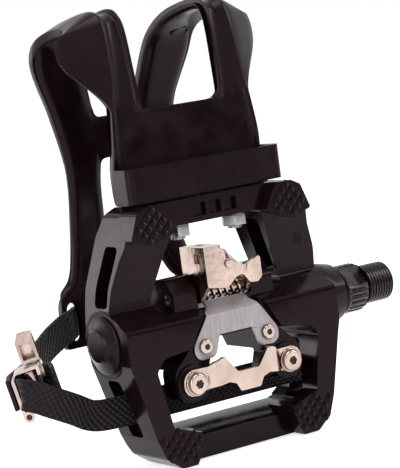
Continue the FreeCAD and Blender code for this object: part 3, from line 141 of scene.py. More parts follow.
class Finish:
    """One procedural material, built from noise over the object's own coordinates."""

    # the tint of the highlights on whatever isn't metal
    WARM = (1.0, 0.8, 0.87, 1.0)
    # the part of the noise's range over which a finish goes from one end to the other
    LOW, HIGH = 0.3, 0.7
    DETAIL = 5.0
    SMOOTHEST = 0.02
    CORNER_SAMPLES = 8
    EVEN = (1.0, 1.0, 1.0)

    def __init__(self, name, colour_name, roughness, metallic=0.0, specular=0.5):
        self.material = bpy.data.materials.new(name)
        self.material.use_nodes = True
        self.tree = self.material.node_tree
        self.nodes = self.tree.nodes
        self.links = self.tree.links
        self.shader = self.nodes["Principled BSDF"]
        self.base = getattr(bpy.context.scene.pedal_colours, colour_name)
        self.roughness = roughness
        self.shader.inputs["Base Color"].default_value = (*self.base, 1.0)
        self.shader.inputs["Metallic"].default_value = metallic
        self.shader.inputs["Roughness"].default_value = roughness
        self.shader.inputs["Specular IOR Level"].default_value = specular
        if not metallic:
            self.shader.inputs["Specular Tint"].default_value = self.WARM
        self.place = self.nodes.new("ShaderNodeTexCoord")

    def noise(self, scale, detail=4.0, stretch=EVEN):
        """A noise's height, stretched along the object's axes."""
        mapping = self.nodes.new("ShaderNodeMapping")
        mapping.inputs["Scale"].default_value = stretch
        noise = self.nodes.new("ShaderNodeTexNoise")
        noise.inputs["Scale"].default_value = scale
        noise.inputs["Detail"].default_value = detail
        self.links.new(self.place.outputs["Object"], mapping.inputs["Vector"])
        self.links.new(mapping.outputs["Vector"], noise.inputs["Vector"])
        return noise.outputs["Fac"]

    def ramp(self, source, stops):
        """The source turned into a colour between two stops, each a place and a colour."""
        ramp = self.nodes.new("ShaderNodeValToRGB")
        for element, (place, shade) in zip(ramp.color_ramp.elements, stops):
            element.position = place
            element.color = (*shade, 1.0)
        self.links.new(source, ramp.inputs["Fac"])
        return ramp.outputs["Color"]

    def vary_colour(self, scale, amount, stretch=EVEN):
        """Makes patches lighter and darker than the base by the amount."""
        low = [c * (1.0 - amount) for c in self.base]
        high = [min(1.0, c * (1.0 + amount)) for c in self.base]
        source = self.noise(scale, self.DETAIL, stretch)
        self.links.new(self.ramp(source, ((self.LOW, low), (self.HIGH, high))),
                       self.shader.inputs["Base Color"])
        return self

    def paint_corner_shade(self, reach):
        """Paints shade into the corners within reach by darkening the base colour there."""
        hollow = self.nodes.new("ShaderNodeAmbientOcclusion")
        hollow.samples = self.CORNER_SAMPLES
        hollow.inputs["Distance"].default_value = reach
        tint = self.shader.inputs["Base Color"].links[0].from_socket
        self.links.new(tint, hollow.inputs["Color"])
        self.links.new(hollow.outputs["Color"], self.shader.inputs["Base Color"])
        return self

    def vary_gloss(self, scale, amount, stretch=EVEN):
        """Makes patches smoother and rougher than the base by the amount."""
        span = self.nodes.new("ShaderNodeMapRange")
        span.inputs["From Min"].default_value = self.LOW
        span.inputs["From Max"].default_value = self.HIGH
        span.inputs["To Min"].default_value = max(self.SMOOTHEST, self.roughness - amount)
        span.inputs["To Max"].default_value = min(1.0, self.roughness + amount)
        self.links.new(self.noise(scale, self.DETAIL, stretch), span.inputs["Value"])
        self.links.new(span.outputs["Result"], self.shader.inputs["Roughness"])
        return self

    def relief(self, source, strength, distance):
        """Raises the surface by the source, up to the distance in metres."""
        bump = self.nodes.new("ShaderNodeBump")
        bump.inputs["Strength"].default_value = strength
        bump.inputs["Distance"].default_value = distance
        self.links.new(source, bump.inputs["Height"])
        self.links.new(bump.outputs["Normal"], self.shader.inputs["Normal"])
        return self


def paint():
    """Gloss black paint with a faint orange peel."""
    f = Finish("gloss_black_paint", "paint", roughness=0.17, specular=0.13)
    f.vary_colour(scale=60.0, amount=0.25).vary_gloss(scale=220.0, amount=0.06)
    return f.relief(f.noise(900.0, detail=2.0), strength=0.10, distance=0.0001).material


def plastic():
    """Moulded black plastic with a fine grain and duller patches."""
    f = Finish("moulded_black", "plastic", roughness=0.26, specular=0.14)
    f.vary_colour(scale=45.0, amount=0.3).vary_gloss(scale=130.0, amount=0.09)
    return f.relief(f.noise(1600.0, detail=3.0), strength=0.16, distance=0.00012).material


def nickel():
    """Warm nickel plating over tumbled castings."""
    f = Finish("warm_nickel", "nickel", roughness=0.17, metallic=1.0)
    f.vary_colour(scale=110.0, amount=0.16).vary_gloss(scale=420.0, amount=0.07)
    # painted shade in the corners
    f.paint_corner_shade(reach=0.0016)
    return f.relief(f.noise(420.0, detail=3.0), strength=0.22, distance=0.0003).material


def zinc():
    """Zinc plating with a fine frosted grain."""
    f = Finish("zinc_plating", "zinc", roughness=0.3, metallic=1.0)
    f.vary_colour(scale=500.0, amount=0.2).vary_gloss(scale=700.0, amount=0.08)
    # painted shade in the corners
    f.paint_corner_shade(reach=0.003)
    return f.relief(f.noise(1500.0, detail=3.0), strength=0.15, distance=0.0001).material


def plate():
    """Satin sheet steel, streaked across its width."""
    streaks = (8.0, 1.0, 1.0)
    f = Finish("satin_plate", "plate", roughness=0.38, metallic=0.85)
    f.vary_colour(scale=160.0, amount=0.11, stretch=streaks)
    f.vary_gloss(scale=260.0, amount=0.09, stretch=streaks)
    # painted shade in the corners
    f.paint_corner_shade(reach=0.003)
    return f.relief(f.noise(500.0, 3.0, streaks), strength=0.18, distance=0.0001).material


def bearing():
    """Ground bearing steel with a light oil film."""
    f = Finish("ground_steel", "bearing", roughness=0.17, metallic=1.0)
    f.vary_colour(scale=300.0, amount=0.08).vary_gloss(scale=600.0, amount=0.06)
    return f.relief(f.noise(2000.0, detail=2.0), strength=0.08, distance=0.00005).material


def oiled():
    """Blackened, oiled steel."""
    f = Finish("oiled_black_steel", "spindle", roughness=0.22, specular=0.3)
    f.vary_colour(scale=200.0, amount=0.35).vary_gloss(scale=380.0, amount=0.1)
    return f.relief(f.noise(1300.0, detail=3.0), strength=0.12, distance=0.0001).material


def rubber():
    """Matt black rubber."""
    f = Finish("seal_rubber", "rubber", roughness=0.7, specular=0.3)
    f.vary_colour(scale=300.0, amount=0.2).vary_gloss(scale=500.0, amount=0.1)
    return f.relief(f.noise(2200.0, detail=4.0), strength=0.3, distance=0.0001).material


def webbing():
    """Woven webbing: crossed yarns that follow the strap's own length and width."""
    yarns_per_mm = 0.85
    f = Finish("woven_webbing", "webbing", roughness=0.55, specular=0.22)
    f.shader.inputs["Sheen Weight"].default_value = 0.05
    f.shader.inputs["Sheen Roughness"].default_value = 0.4
    f.vary_gloss(scale=500.0, amount=0.1)
    split = f.nodes.new("ShaderNodeSeparateXYZ")
    f.links.new(f.place.outputs["UV"], split.inputs["Vector"])
    waves = []
    for axis in ("X", "Y"):
        turn = calculate(f.tree, "MULTIPLY", split.outputs[axis], yarns_per_mm * math.pi)
        waves.append(calculate(f.tree, "SINE", turn))
    weave = calculate(f.tree, "MULTIPLY_ADD", waves[0], waves[1], 0.5)
    # the yarns' crowns are painted lighter and the dips between them darker: painted highlight
    # and shade that follow the weave
    between = [c * 0.45 for c in f.base]
    crown_highlight = [c * 2.2 for c in f.base]
    f.links.new(f.ramp(weave, ((0.2, between), (0.95, crown_highlight))), f.shader.inputs["Base Color"])
    return f.relief(weave, strength=0.9, distance=0.0005).material


FINISHES = {"paint": paint, "plastic": plastic, "nickel": nickel, "zinc": zinc, "plate": plate,
            "bearing": bearing, "oiled": oiled, "rubber": rubber, "webbing": webbing}

# the materials made so far, by finish
MADE = {}


def finish_named(word):
    """The finish of that name, made once."""
    if word not in MADE:
        MADE[word] = FINISHES[word]()
    return MADE[word]


# ------------------------------------------------------------- mesh helpers

def placed(name, data):
    """A new object of the scene that holds the data."""
    made = bpy.data.objects.new(name, data)
    bpy.context.scene.collection.objects.link(made)
    return made


def piece(name, verts, faces, body, finish, replaces=()):
    """A new smooth mesh that rides on a body and may stand for CAD nodes."""
    mesh = bpy.data.meshes.new(name)
    mesh.from_pydata([tuple(v) for v in verts], [], faces)
    mesh.update()
    mesh.shade_smooth()
    mesh.materials.append(finish_named(finish))
    made = placed(name, mesh)
    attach(made, body)
    if replaces:
        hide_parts(*replaces)
    return made


def weld(obj):
    """Joins the points that lie on one another."""
    obj.modifiers.new("weld", "WELD").merge_threshold = SAME_POINT


def round_edges(obj, width, angle):
    """Bevels the edges that are sharper than the angle in degrees."""
    bevel = obj.modifiers.new("edge", "BEVEL")
    bevel.width = width
    bevel.segments = 2
    bevel.limit_method = "ANGLE"
    bevel.angle_limit = math.radians(angle)


def thicken(obj, thickness, offset):
    """Makes a sheet solid: offset -1 keeps its front where it is, 0 its middle."""
    solid = obj.modifiers.new("thickness", "SOLIDIFY")
    solid.thickness = thickness
    solid.offset = offset


def coat(names, finish):
    """Gives CAD nodes their finish."""
    nodes = [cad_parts[name] for name in names]
    for obj in nodes:
        obj.data.materials.clear()
        obj.data.materials.append(finish_named(finish))
    return nodes


def dress(names, finish, width):
    """Gives CAD nodes their finish and soft edges that catch the light."""
    for obj in coat(names, finish):
        weld(obj)
        round_edges(obj, width, angle=38.0)
        obj.modifiers.new("shade", "WEIGHTED_NORMAL").weight = 60


def kept_part(node, beyond):
    """The points and faces of a CAD node without the points that beyond() picks."""
    edit = bmesh.new()
    edit.from_mesh(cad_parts[node].data)
    gone = [v for v in edit.verts if beyond(v.co)]
    bmesh.ops.delete(edit, geom=gone, context="VERTS")
    mesh = bpy.data.meshes.new("kept_part")
    edit.to_mesh(mesh)
    edit.free()
    verts = [v.co.copy() for v in mesh.vertices]
    faces = [tuple(p.vertices) for p in mesh.polygons]
    bpy.data.meshes.remove(mesh)
    return verts, faces


def grid_faces(rows, columns, wanted=lambda row, column: True):
    """The quads between neighbouring rows and columns of points, where wanted."""
    faces = []
    for row in range(rows - 1):
        for column in range(columns - 1):
            if wanted(row, column):
                start = row * columns + column
                faces.append((start, start + 1, start + columns + 1, start + columns))
    return faces


def drop_loose(mesh):
    """Removes the points that no face uses."""
    edit = bmesh.new()
    edit.from_mesh(mesh)
    bmesh.ops.delete(edit, geom=[v for v in edit.verts if not v.link_faces], context="VERTS")
    edit.to_mesh(mesh)
    edit.free()


# ---------------------------------------------------------------- operators

class PEDAL_OT_body(bpy.types.Operator):
    """Paint the cast body and mould the end cap"""
    bl_idname = "pedal.body"
    bl_label = "Body and end cap"

    def execute(self, context):
        sizes = context.scene.pedal_sizes
        dress(["frame"], "paint", sizes.edge)
        dress(["dust_cap"], "plastic", sizes.edge)
        return {"FINISHED"}


class PEDAL_OT_knurling(bpy.types.Operator):
    """Cut the diamond knurling of the four corner pads"""
    bl_idname = "pedal.knurling"
    bl_label = "Pad knurling"

    # outlines across and up of the pads at the right, and how far out their face is
    FRONT = [(38, 34.3), (34.6, 43.2), (30.6, 45.2), (24.6, 45.2), (22.3, 42.8), (18.8, 36),
             (29.2, 31.9)]
    REAR = [(38, -33.3), (35.2, -40.4), (29.4, -44.8), (24, -44.8), (21.8, -42.6),
            (19.7, -35.6), (20.6, -34), (29.4, -30.7)]
    FACE = 15.2
    # half a diamond as a share of the pitch, and its middle's distance from the outline in halves
    HALF = 0.62
    MARGIN = 0.58
    # a step of one pitch along the slanting rows, on each axis
    SLANT = 0.7071
    # rows of diamonds tried each way from a pad's middle
    TRIED = 9
    # each level of a diamond: its share of the half width and of the height
    LEVELS = ((1.0, -0.1), (0.94, 0.3), (0.62, 0.42), (0.54, 0.86), (0.3, 1.0))

    @staticmethod
    def inside(outline, x, y, margin):
        """Whether a point lies inside the outline, at least the margin from its sides."""
        inner = False
        nearest = math.inf
        for i, (ax, ay) in enumerate(outline):
            bx, by = outline[(i + 1) % len(outline)]
            if (ay > y) != (by > y) and x < (bx - ax) * (y - ay) / (by - ay) + ax:
                inner = not inner
            along = (x - ax) * (bx - ax) + (y - ay) * (by - ay)
            along = min(1.0, max(0.0, along / ((bx - ax) ** 2 + (by - ay) ** 2)))
            nearest = min(nearest, math.hypot(x - ax - along * (bx - ax),
                                              y - ay - along * (by - ay)))
        return inner and nearest > margin

    def diamond(self, verts, faces, across, up, half, height):
        """One stepped square pyramid standing on its corner."""
        base = len(verts)
        for scale, rise in self.LEVELS:
            for turn in range(4):
                angle = turn * math.pi / 2
                verts.append(point(across + half * scale * math.cos(angle),
                                   self.FACE + height * rise,
                                   up + half * scale * math.sin(angle)))
        for level in range(len(self.LEVELS) - 1):
            for turn in range(4):
                a = base + level * 4 + turn
                b = base + level * 4 + (turn + 1) % 4
                faces.append((a, b, b + 4, a + 4))
        last = base + (len(self.LEVELS) - 1) * 4
        faces.append((last, last + 1, last + 2, last + 3))

    def execute(self, context):
        sizes = context.scene.pedal_sizes
        pitch = sizes.knurl_pitch / MM
        height = sizes.knurl_height / MM
        half = pitch * self.HALF
        step = pitch * self.SLANT
        tried = range(-self.TRIED, self.TRIED + 1)
        verts, faces = [], []
        for outline in (self.FRONT, self.REAR):
            for side in (1, -1):
                pad = [(side * a, b) for a, b in outline]
                middle = [sum(p[i] for p in pad) / len(pad) for i in (0, 1)]
                for i in tried:
                    for j in tried:
                        x = middle[0] + (i - j) * step
                        y = middle[1] + (i + j) * step
                        if self.inside(pad, x, y, half * self.MARGIN):
                            self.diamond(verts, faces, x, y, half, height)
        made = piece("pad_knurling", verts, faces, "pedal", "paint")
        made.data.shade_flat()
        return {"FINISHED"}


class PEDAL_OT_cleat_parts(bpy.types.Operator):
    """Plate the claw, the sprung jaw and their screws"""
    bl_idname = "pedal.cleat_parts"
    bl_label = "Cleat claws and screws"

    CLAWS = ("fixed_claw", "spring_jaw")
    SMALL = ("claw_washers", "claw_screws", "cover_screws", "jaw_pivot_pin", "tension_bolt",
             "tension_plate", "jaw_spring")
    # the screws' node, the right one's place across and up, and the radius of its socket's
    # painted shade
    SOCKETS = (("claw_screws", 20.0, -17.2, 1.3), ("cover_screws", 13.3, -5.8, 0.95))
    # the painted socket's corners and dips, the dips' share of its radius, and millimetres it
    # stands up
    CORNERS = 12
    VALLEY = 0.72
    RAISED = 0.03

    def star(self, verts, faces, across, up, face, radius):
        """A flat dark six-pointed star a hair above the screw's head: painted shade for its
        driver socket.
        """
        base = len(verts)
        count = self.CORNERS
        for level in (0.0, self.RAISED):
            for i in range(count):
                reach = radius * (1.0 if i % 2 == 0 else self.VALLEY)
                angle = i * 2 * math.pi / count
                verts.append(point(across + reach * math.cos(angle), face + level,
                                   up + reach * math.sin(angle)))
        for i in range(count):
            j = (i + 1) % count
            faces.append((base + i, base + j, base + count + j, base + count + i))
        faces.append(tuple(range(base + count, base + 2 * count)))

    def execute(self, context):
        sizes = context.scene.pedal_sizes
        dress(self.CLAWS, "nickel", sizes.claw_edge)
        dress(self.SMALL, "nickel", sizes.fine_edge)
        verts, faces = [], []
        for node, across, up, radius in self.SOCKETS:
            face = -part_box(node)[0][1] / MM
            for side in (1, -1):
                self.star(verts, faces, side * across, up, face, radius)
        # dark stars of oiled steel: painted shade where the screws' sockets are hollow
        piece("screw_sockets", verts, faces, "pedal", "oiled").data.shade_flat()
        return {"FINISHED"}


class PEDAL_OT_cover_plate(bpy.types.Operator):
    """Finish the satin plate over the cleat bed"""
    bl_idname = "pedal.cover_plate"
    bl_label = "Cover plate"

    def execute(self, context):
        dress(["cover_plate"], "plate", context.scene.pedal_sizes.fine_edge)
        return {"FINISHED"}


class PEDAL_OT_bearings(bpy.types.Operator):
    """Finish the balls, cups, cone, nut and seal"""
    bl_idname = "pedal.bearings"
    bl_label = "Bearings"

    def execute(self, context):
        sizes = context.scene.pedal_sizes
        coat(["inner_balls", "outer_balls"], "bearing")
        dress(["inner_bearing_cup", "outer_bearing_cup", "adjusting_cone", "lock_washer",
               "lock_nut"], "bearing", sizes.fine_edge)
        dress(["spindle_seal"], "rubber", sizes.fine_edge)
        return {"FINISHED"}


class PEDAL_OT_spindle(bpy.types.Operator):
    """Cut the real crank thread on the spindle's end"""
    bl_idname = "pedal.spindle"
    bl_label = "Spindle"

    # millimetres from the shoulder at which the neck and the thread end
    NECK = 0.9
    END = 13.0
    # radii, the thread's depth and the chamfer of its end, in millimetres
    NECK_RADIUS = 6.2
    SHOULDER_RADIUS = 8.2
    CREST = 7.144
    DEPTH = 0.68
    CHAMFER = 1.1
    # how steep the thread's flanks are
    FLANK = 2.6
    AROUND = 64
    ROWS = 150
    # metres from the shoulder beyond which the CAD's plain thread is cut off
    CUT = 0.0002
    # degrees above which an edge stays sharp
    SHARP = 32

    def radius(self, x, turn, pitch):
        """The threaded end's radius at a place along the axis and a share of a turn."""
        if x < self.NECK:
            return self.NECK_RADIUS
        phase = (x / pitch - turn) % 1.0
        tooth = min(1.0, self.FLANK * abs(2.0 * phase - 1.0))
        chamfered = self.CREST - max(0.0, x - self.END + self.CHAMFER)
        return min(self.CREST - self.DEPTH * (1.0 - tooth), chamfered)

    def ring(self, verts, x, radii):
        """Adds a ring of points round the spindle's axis, one for each radius."""
        for i, radius in enumerate(radii):
            angle = i * 2 * math.pi / self.AROUND
            verts.append(Vector((x, radius * math.cos(angle), radius * math.sin(angle))) * MM)

    def execute(self, context):
        pitch = context.scene.pedal_sizes.thread_pitch / MM
        around = self.AROUND
        verts, faces = kept_part("spindle", lambda co: co.x > self.CUT)
        base = len(verts)
        for row in range(self.ROWS + 1):
            x = self.END * row / self.ROWS
            self.ring(verts, x, [self.radius(x, i / around, pitch) for i in range(around)])
        for row in range(self.ROWS):
            near = base + row * around
            for i in range(around):
                j = (i + 1) % around
                faces.append((near + i, near + around + i, near + around + j, near + j))
        last = base + self.ROWS * around
        faces.append(tuple(range(last, last + around)))
        start = len(verts)
        self.ring(verts, 0.0, [self.NECK_RADIUS] * around)
        self.ring(verts, 0.0, [self.SHOULDER_RADIUS] * around)
        for i in range(around):
            j = (i + 1) % around
            faces.append((start + i, start + j, start + around + j, start + around + i))
        made = piece("threaded_spindle", verts, faces, "spindle_set", "oiled",
                     replaces=("spindle",))
        weld(made)
        made.data.set_sharp_from_angle(angle=math.radians(self.SHARP))
        return {"FINISHED"}


class PEDAL_OT_toe_cage(bpy.types.Operator):
    """Mould the toe cage as one ribbon with a rim along its edges"""
    bl_idname = "pedal.toe_cage"
    bl_label = "Toe cage"

    Row = namedtuple("Row", "out up inner outer joined rim slot")
    # out of the face, up, inner and outer half widths, whether the two strips are joined,
    # the rim's share, and the tail slots: 1 inside them, 2 at their end
    ROWS = [
        (-0.4, 45.4, 16.6, 31.2, 1, 0, 0), (-0.6, 52, 16.6, 31.2, 1, 0, 0),
        (-0.9, 58.5, 16.6, 31.0, 1, 0, 0), (-1.2, 62, 16.6, 30.6, 1, 1, 0),
        (-1.5, 70, 16.6, 29.8, 1, 1, 0), (-1.75, 75.2, 16.6, 29.2, 1, 1, 0),
        (-1.85, 76.9, 16.7, 29.0, 1, 1, 0), (-2.0, 79, 16.8, 28.8, 0, 1, 0),
        (-2.6, 86, 17.0, 28.1, 0, 1, 0), (-3.4, 95, 17.4, 27.3, 0, 1, 0),
        (-4.4, 103, 17.8, 26.7, 0, 1, 0), (-5.6, 107.8, 18, 26.3, 0, 1, 0),
        (-8.0, 110.4, 18, 26.2, 0, 1, 0), (-11.5, 111.2, 18, 26.2, 0, 1, 0),
        (-16, 110.9, 17.8, 26.6, 0, 1, 0), (-22, 109.9, 17.3, 27.7, 0, 1, 0),
        (-28, 108.6, 16.7, 29.3, 0, 1, 0), (-33.5, 106.4, 16.2, 31.4, 0, 1, 0),
        (-38, 103.2, 15.4, 33.4, 0, 1, 0), (-41.0, 99.6, 14.5, 34.2, 0, 1, 0),
        (-42.6, 95, 13.3, 33.8, 0, 1, 0), (-44.5, 88, 11.8, 31.0, 0, 1, 0),
        (-46.0, 80.5, 10.0, 27.6, 0, 1, 0), (-46.4, 76.5, 9.3, 26.4, 0, 1, 0),
        (-46.5, 74.5, 9.0, 25.9, 1, 1, 0), (-46.6, 67, 8.7, 24.0, 1, 1, 0),
        (-46.8, 59.5, 8.6, 22.6, 1, 1, 0), (-47.1, 56.5, 8.9, 22.1, 0, 1, 0),
        (-47.9, 48, 9.9, 21.7, 0, 1, 0), (-48.9, 38, 8.9, 22.4, 0, 1, 0),
        (-49.5, 29, 10.2, 23.1, 0, 1, 0), (-49.2, 21, 13.6, 24.6, 0, 1, 0),
        (-48.6, 15, 16.6, 26.8, 0, 1, 0), (-48.2, 12.4, 18.2, 30.5, 0, 1, 0),
        (-47.9, 9.8, 19.4, 33.6, 0, 0, 1), (-47.3, 3, 21.8, 34.0, 0, 0, 1),
        (-46.8, -4.8, 22.6, 34.0, 0, 0, 2), (-46.6, -7, 22.8, 33.8, 0, 0, 0),
    ]
    # how much of the wing each row carries, from FIRST_WING_ROW on
    WING = (0.0, 0.35, 0.95, 1.0, 0.95, 0.85, 0.7, 0.55, 0.4, 0.3, 0.2, 0.08)
    FIRST_WING_ROW = 7
    WING_WIDTH = 15.0
    WING_DROP = 9.0
    # the columns of a strip: where they lie between its edges, how far they follow the wing
    SHARES = (0.0, 0.125, 0.14, 0.38, 0.62, 0.86, 0.875, 1.0)
    REACH = (0.0, 0.0, 0.0, 0.0, 0.0, 0.0, 0.14, 1.0)
    # beside a tail slot the first columns keep to the inner edge and the rest to the slot
    BY_INNER_EDGE = (0.0, 1.3, 2.0)
    BY_SLOT = (26.2, 31.8, 32.6, 33.0)
    SLOT_COLUMN = 3
    # columns between the two strips
    CENTRE = 5
    # the CAD cage beyond these, in metres, isn't part of the foot
    FOOT_FACE = -0.0012
    FOOT_TOP = 0.0485

    def columns(self, row):
        """How far across the columns of the right strip lie in a row."""
        if row.slot:
            return ([row.inner + more for more in self.BY_INNER_EDGE]
                    + list(self.BY_SLOT) + [row.outer])
        return [row.inner + share * (row.outer - row.inner) for share in self.SHARES]

    def wing_share(self, index):
        """How much of the wing a row carries."""
        step = index - self.FIRST_WING_ROW
        return self.WING[step] if 0 <= step < len(self.WING) else 0.0

    def execute(self, context):
        sizes = context.scene.pedal_sizes
        bead = sizes.cage_bead / MM
        rows = [self.Row(*row) for row in self.ROWS]
        strip = len(self.SHARES)
        rims = (0, 1, strip - 2, strip - 1)
        columns = strip * 2 + self.CENTRE
        verts = []
        for index, row in enumerate(rows):
            before = rows[max(0, index - 1)]
            after = rows[min(len(rows) - 1, index + 1)]
            run = Vector((after.out - before.out, after.up - before.up)).normalized()
            normal = Vector((run.y, -run.x))
            half = self.columns(row)
            lift = [bead * row.rim if i in rims else 0.0 for i in range(strip)]
            if row.joined:
                lift[0] = lift[1] = 0.0
            wing = self.wing_share(index)
            if wing:
                lift[strip - 3] = lift[strip - 2]
            for i, reach in enumerate(self.REACH):
                half[i] += self.WING_WIDTH * wing * reach
                lift[i] -= self.WING_DROP * wing * reach * reach
            line = [(-s, l) for s, l in zip(reversed(half), reversed(lift))]
            line += [(-row.inner * (1 - 2 * (i + 1) / (self.CENTRE + 1)), 0.0)
                     for i in range(self.CENTRE)]
            line += list(zip(half, lift))
            for s, raised in line:
                verts.append(point(s, row.out + normal.x * raised, row.up + normal.y * raised))

        def wanted(index, column):
            row, after = rows[index], rows[index + 1]
            if strip - 1 <= column < strip + self.CENTRE:
                return row.joined and after.joined
            if row.slot == 1 and after.slot:
                return min(column, columns - 2 - column) != self.SLOT_COLUMN
            return True

        faces = grid_faces(len(rows), columns, wanted)
        made = piece("cage_shell", verts, faces, "pedal", "plastic",
                     replaces=("toe_cage",))
        drop_loose(made.data)
        smooth = made.modifiers.new("smooth", "SUBSURF")
        smooth.levels = 2
        smooth.render_levels = 2
        thicken(made, sizes.cage_sheet, offset=-1.0)
        round_edges(made, sizes.edge, angle=50.0)
        self.foot()
        return {"FINISHED"}

    def foot(self):
        """The flange that the bolts clamp, under the bumper tray."""
        verts, faces = kept_part("toe_cage",
                                 lambda co: co.y > self.FOOT_FACE or co.z > self.FOOT_TOP)
        if faces:
            piece("cage_foot", verts, faces, "pedal", "plastic").data.shade_flat()


class PEDAL_OT_marks(bpy.types.Operator):
    """Raise the round boss on the right arm and the plain oval inside the right hoop"""
    bl_idname = "pedal.marks"
    bl_label = "Boss and oval"

    # points of a ring, along it and round its own thickness
    AROUND = 40
    TUBE = 8
    # where each mark's line of sight starts: across, out of the face, up
    BOSS = (36.0, 30.0, 23.5)
    OVAL = (27.0, -20.0, 101.0)
    # half length, half width and thickness of the rings, and how round they stand up
    BOSS_RINGS = ((1.9, 1.9, 0.35), (0.8, 0.8, 0.3))
    OVAL_RING = (4.0, 2.0, 0.3)
    ROUND = 0.8

    def seat(self, carrier, start):
        """Where a line straight back from the start meets the carrier, and which way it faces."""
        way = Vector((0, 1, 0))
        met, place, normal, _ = carrier.ray_cast(point(*start), way)
        if not met:
            raise RuntimeError("nothing to sit on for a mark on %s" % carrier.name)
        return place, normal if normal.dot(way) < 0 else -normal

    def ring(self, verts, faces, place, normal, long, short, tube):
        """An oval ring lying on the surface, its long way across the pedal."""
        wide = (Vector((1, 0, 0)) - normal * normal.x).normalized()
        tall = normal.cross(wide)
        base = len(verts)
        for i in range(self.AROUND):
            a = i * 2 * math.pi / self.AROUND
            for j in range(self.TUBE):
                b = j * 2 * math.pi / self.TUBE
                reach = tube * math.cos(b)
                verts.append(place + (wide * (long + reach) * math.cos(a)
                                      + tall * (short + reach) * math.sin(a)
                                      + normal * tube * self.ROUND * math.sin(b)) * MM)
        for i in range(self.AROUND):
            for j in range(self.TUBE):
                near, far = base + i * self.TUBE, base + (i + 1) % self.AROUND * self.TUBE
                k = (j + 1) % self.TUBE
                faces.append((near + j, far + j, far + k, near + k))

    def execute(self, context):
        context.view_layer.update()
        verts, faces = [], []
        place, normal = self.seat(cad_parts["frame"], self.BOSS)
        for ring in self.BOSS_RINGS:
            self.ring(verts, faces, place, normal, *ring)
        piece("arm_boss", verts, faces, "pedal", "paint")
        verts, faces = [], []
        place, normal = self.seat(bpy.data.objects["cage_shell"], self.OVAL)
        self.ring(verts, faces, place, normal, *self.OVAL_RING)
        piece("hoop_oval", verts, faces, "pedal", "plastic")
        return {"FINISHED"}


class PEDAL_OT_bumper(bpy.types.Operator):
    """Mould the bumper tray in front of the cage"""
    bl_idname = "pedal.bumper"
    bl_label = "Bumper tray"

    def execute(self, context):
        dress(["cage_bumper"], "plastic", context.scene.pedal_sizes.edge)
        return {"FINISHED"}


class PEDAL_OT_cage_bolts(bpy.types.Operator):
    """Plate the bolts, washers and nuts under the cage"""
    bl_idname = "pedal.cage_bolts"
    bl_label = "Cage bolts"

    def execute(self, context):
        dress(["cage_bolts", "cage_washers", "cage_nuts"], "zinc",
              context.scene.pedal_sizes.fine_edge)
        return {"FINISHED"}


class PEDAL_OT_buckle(bpy.types.Operator):
    """Plate the strap's buckle"""
    bl_idname = "pedal.buckle"
    bl_label = "Buckle"

    def execute(self, context):
        dress(["buckle_frame", "buckle_roller", "roller_pin", "lever_pin", "buckle_lever"],
              "nickel", context.scene.pedal_sizes.fine_edge)
        return {"FINISHED"}


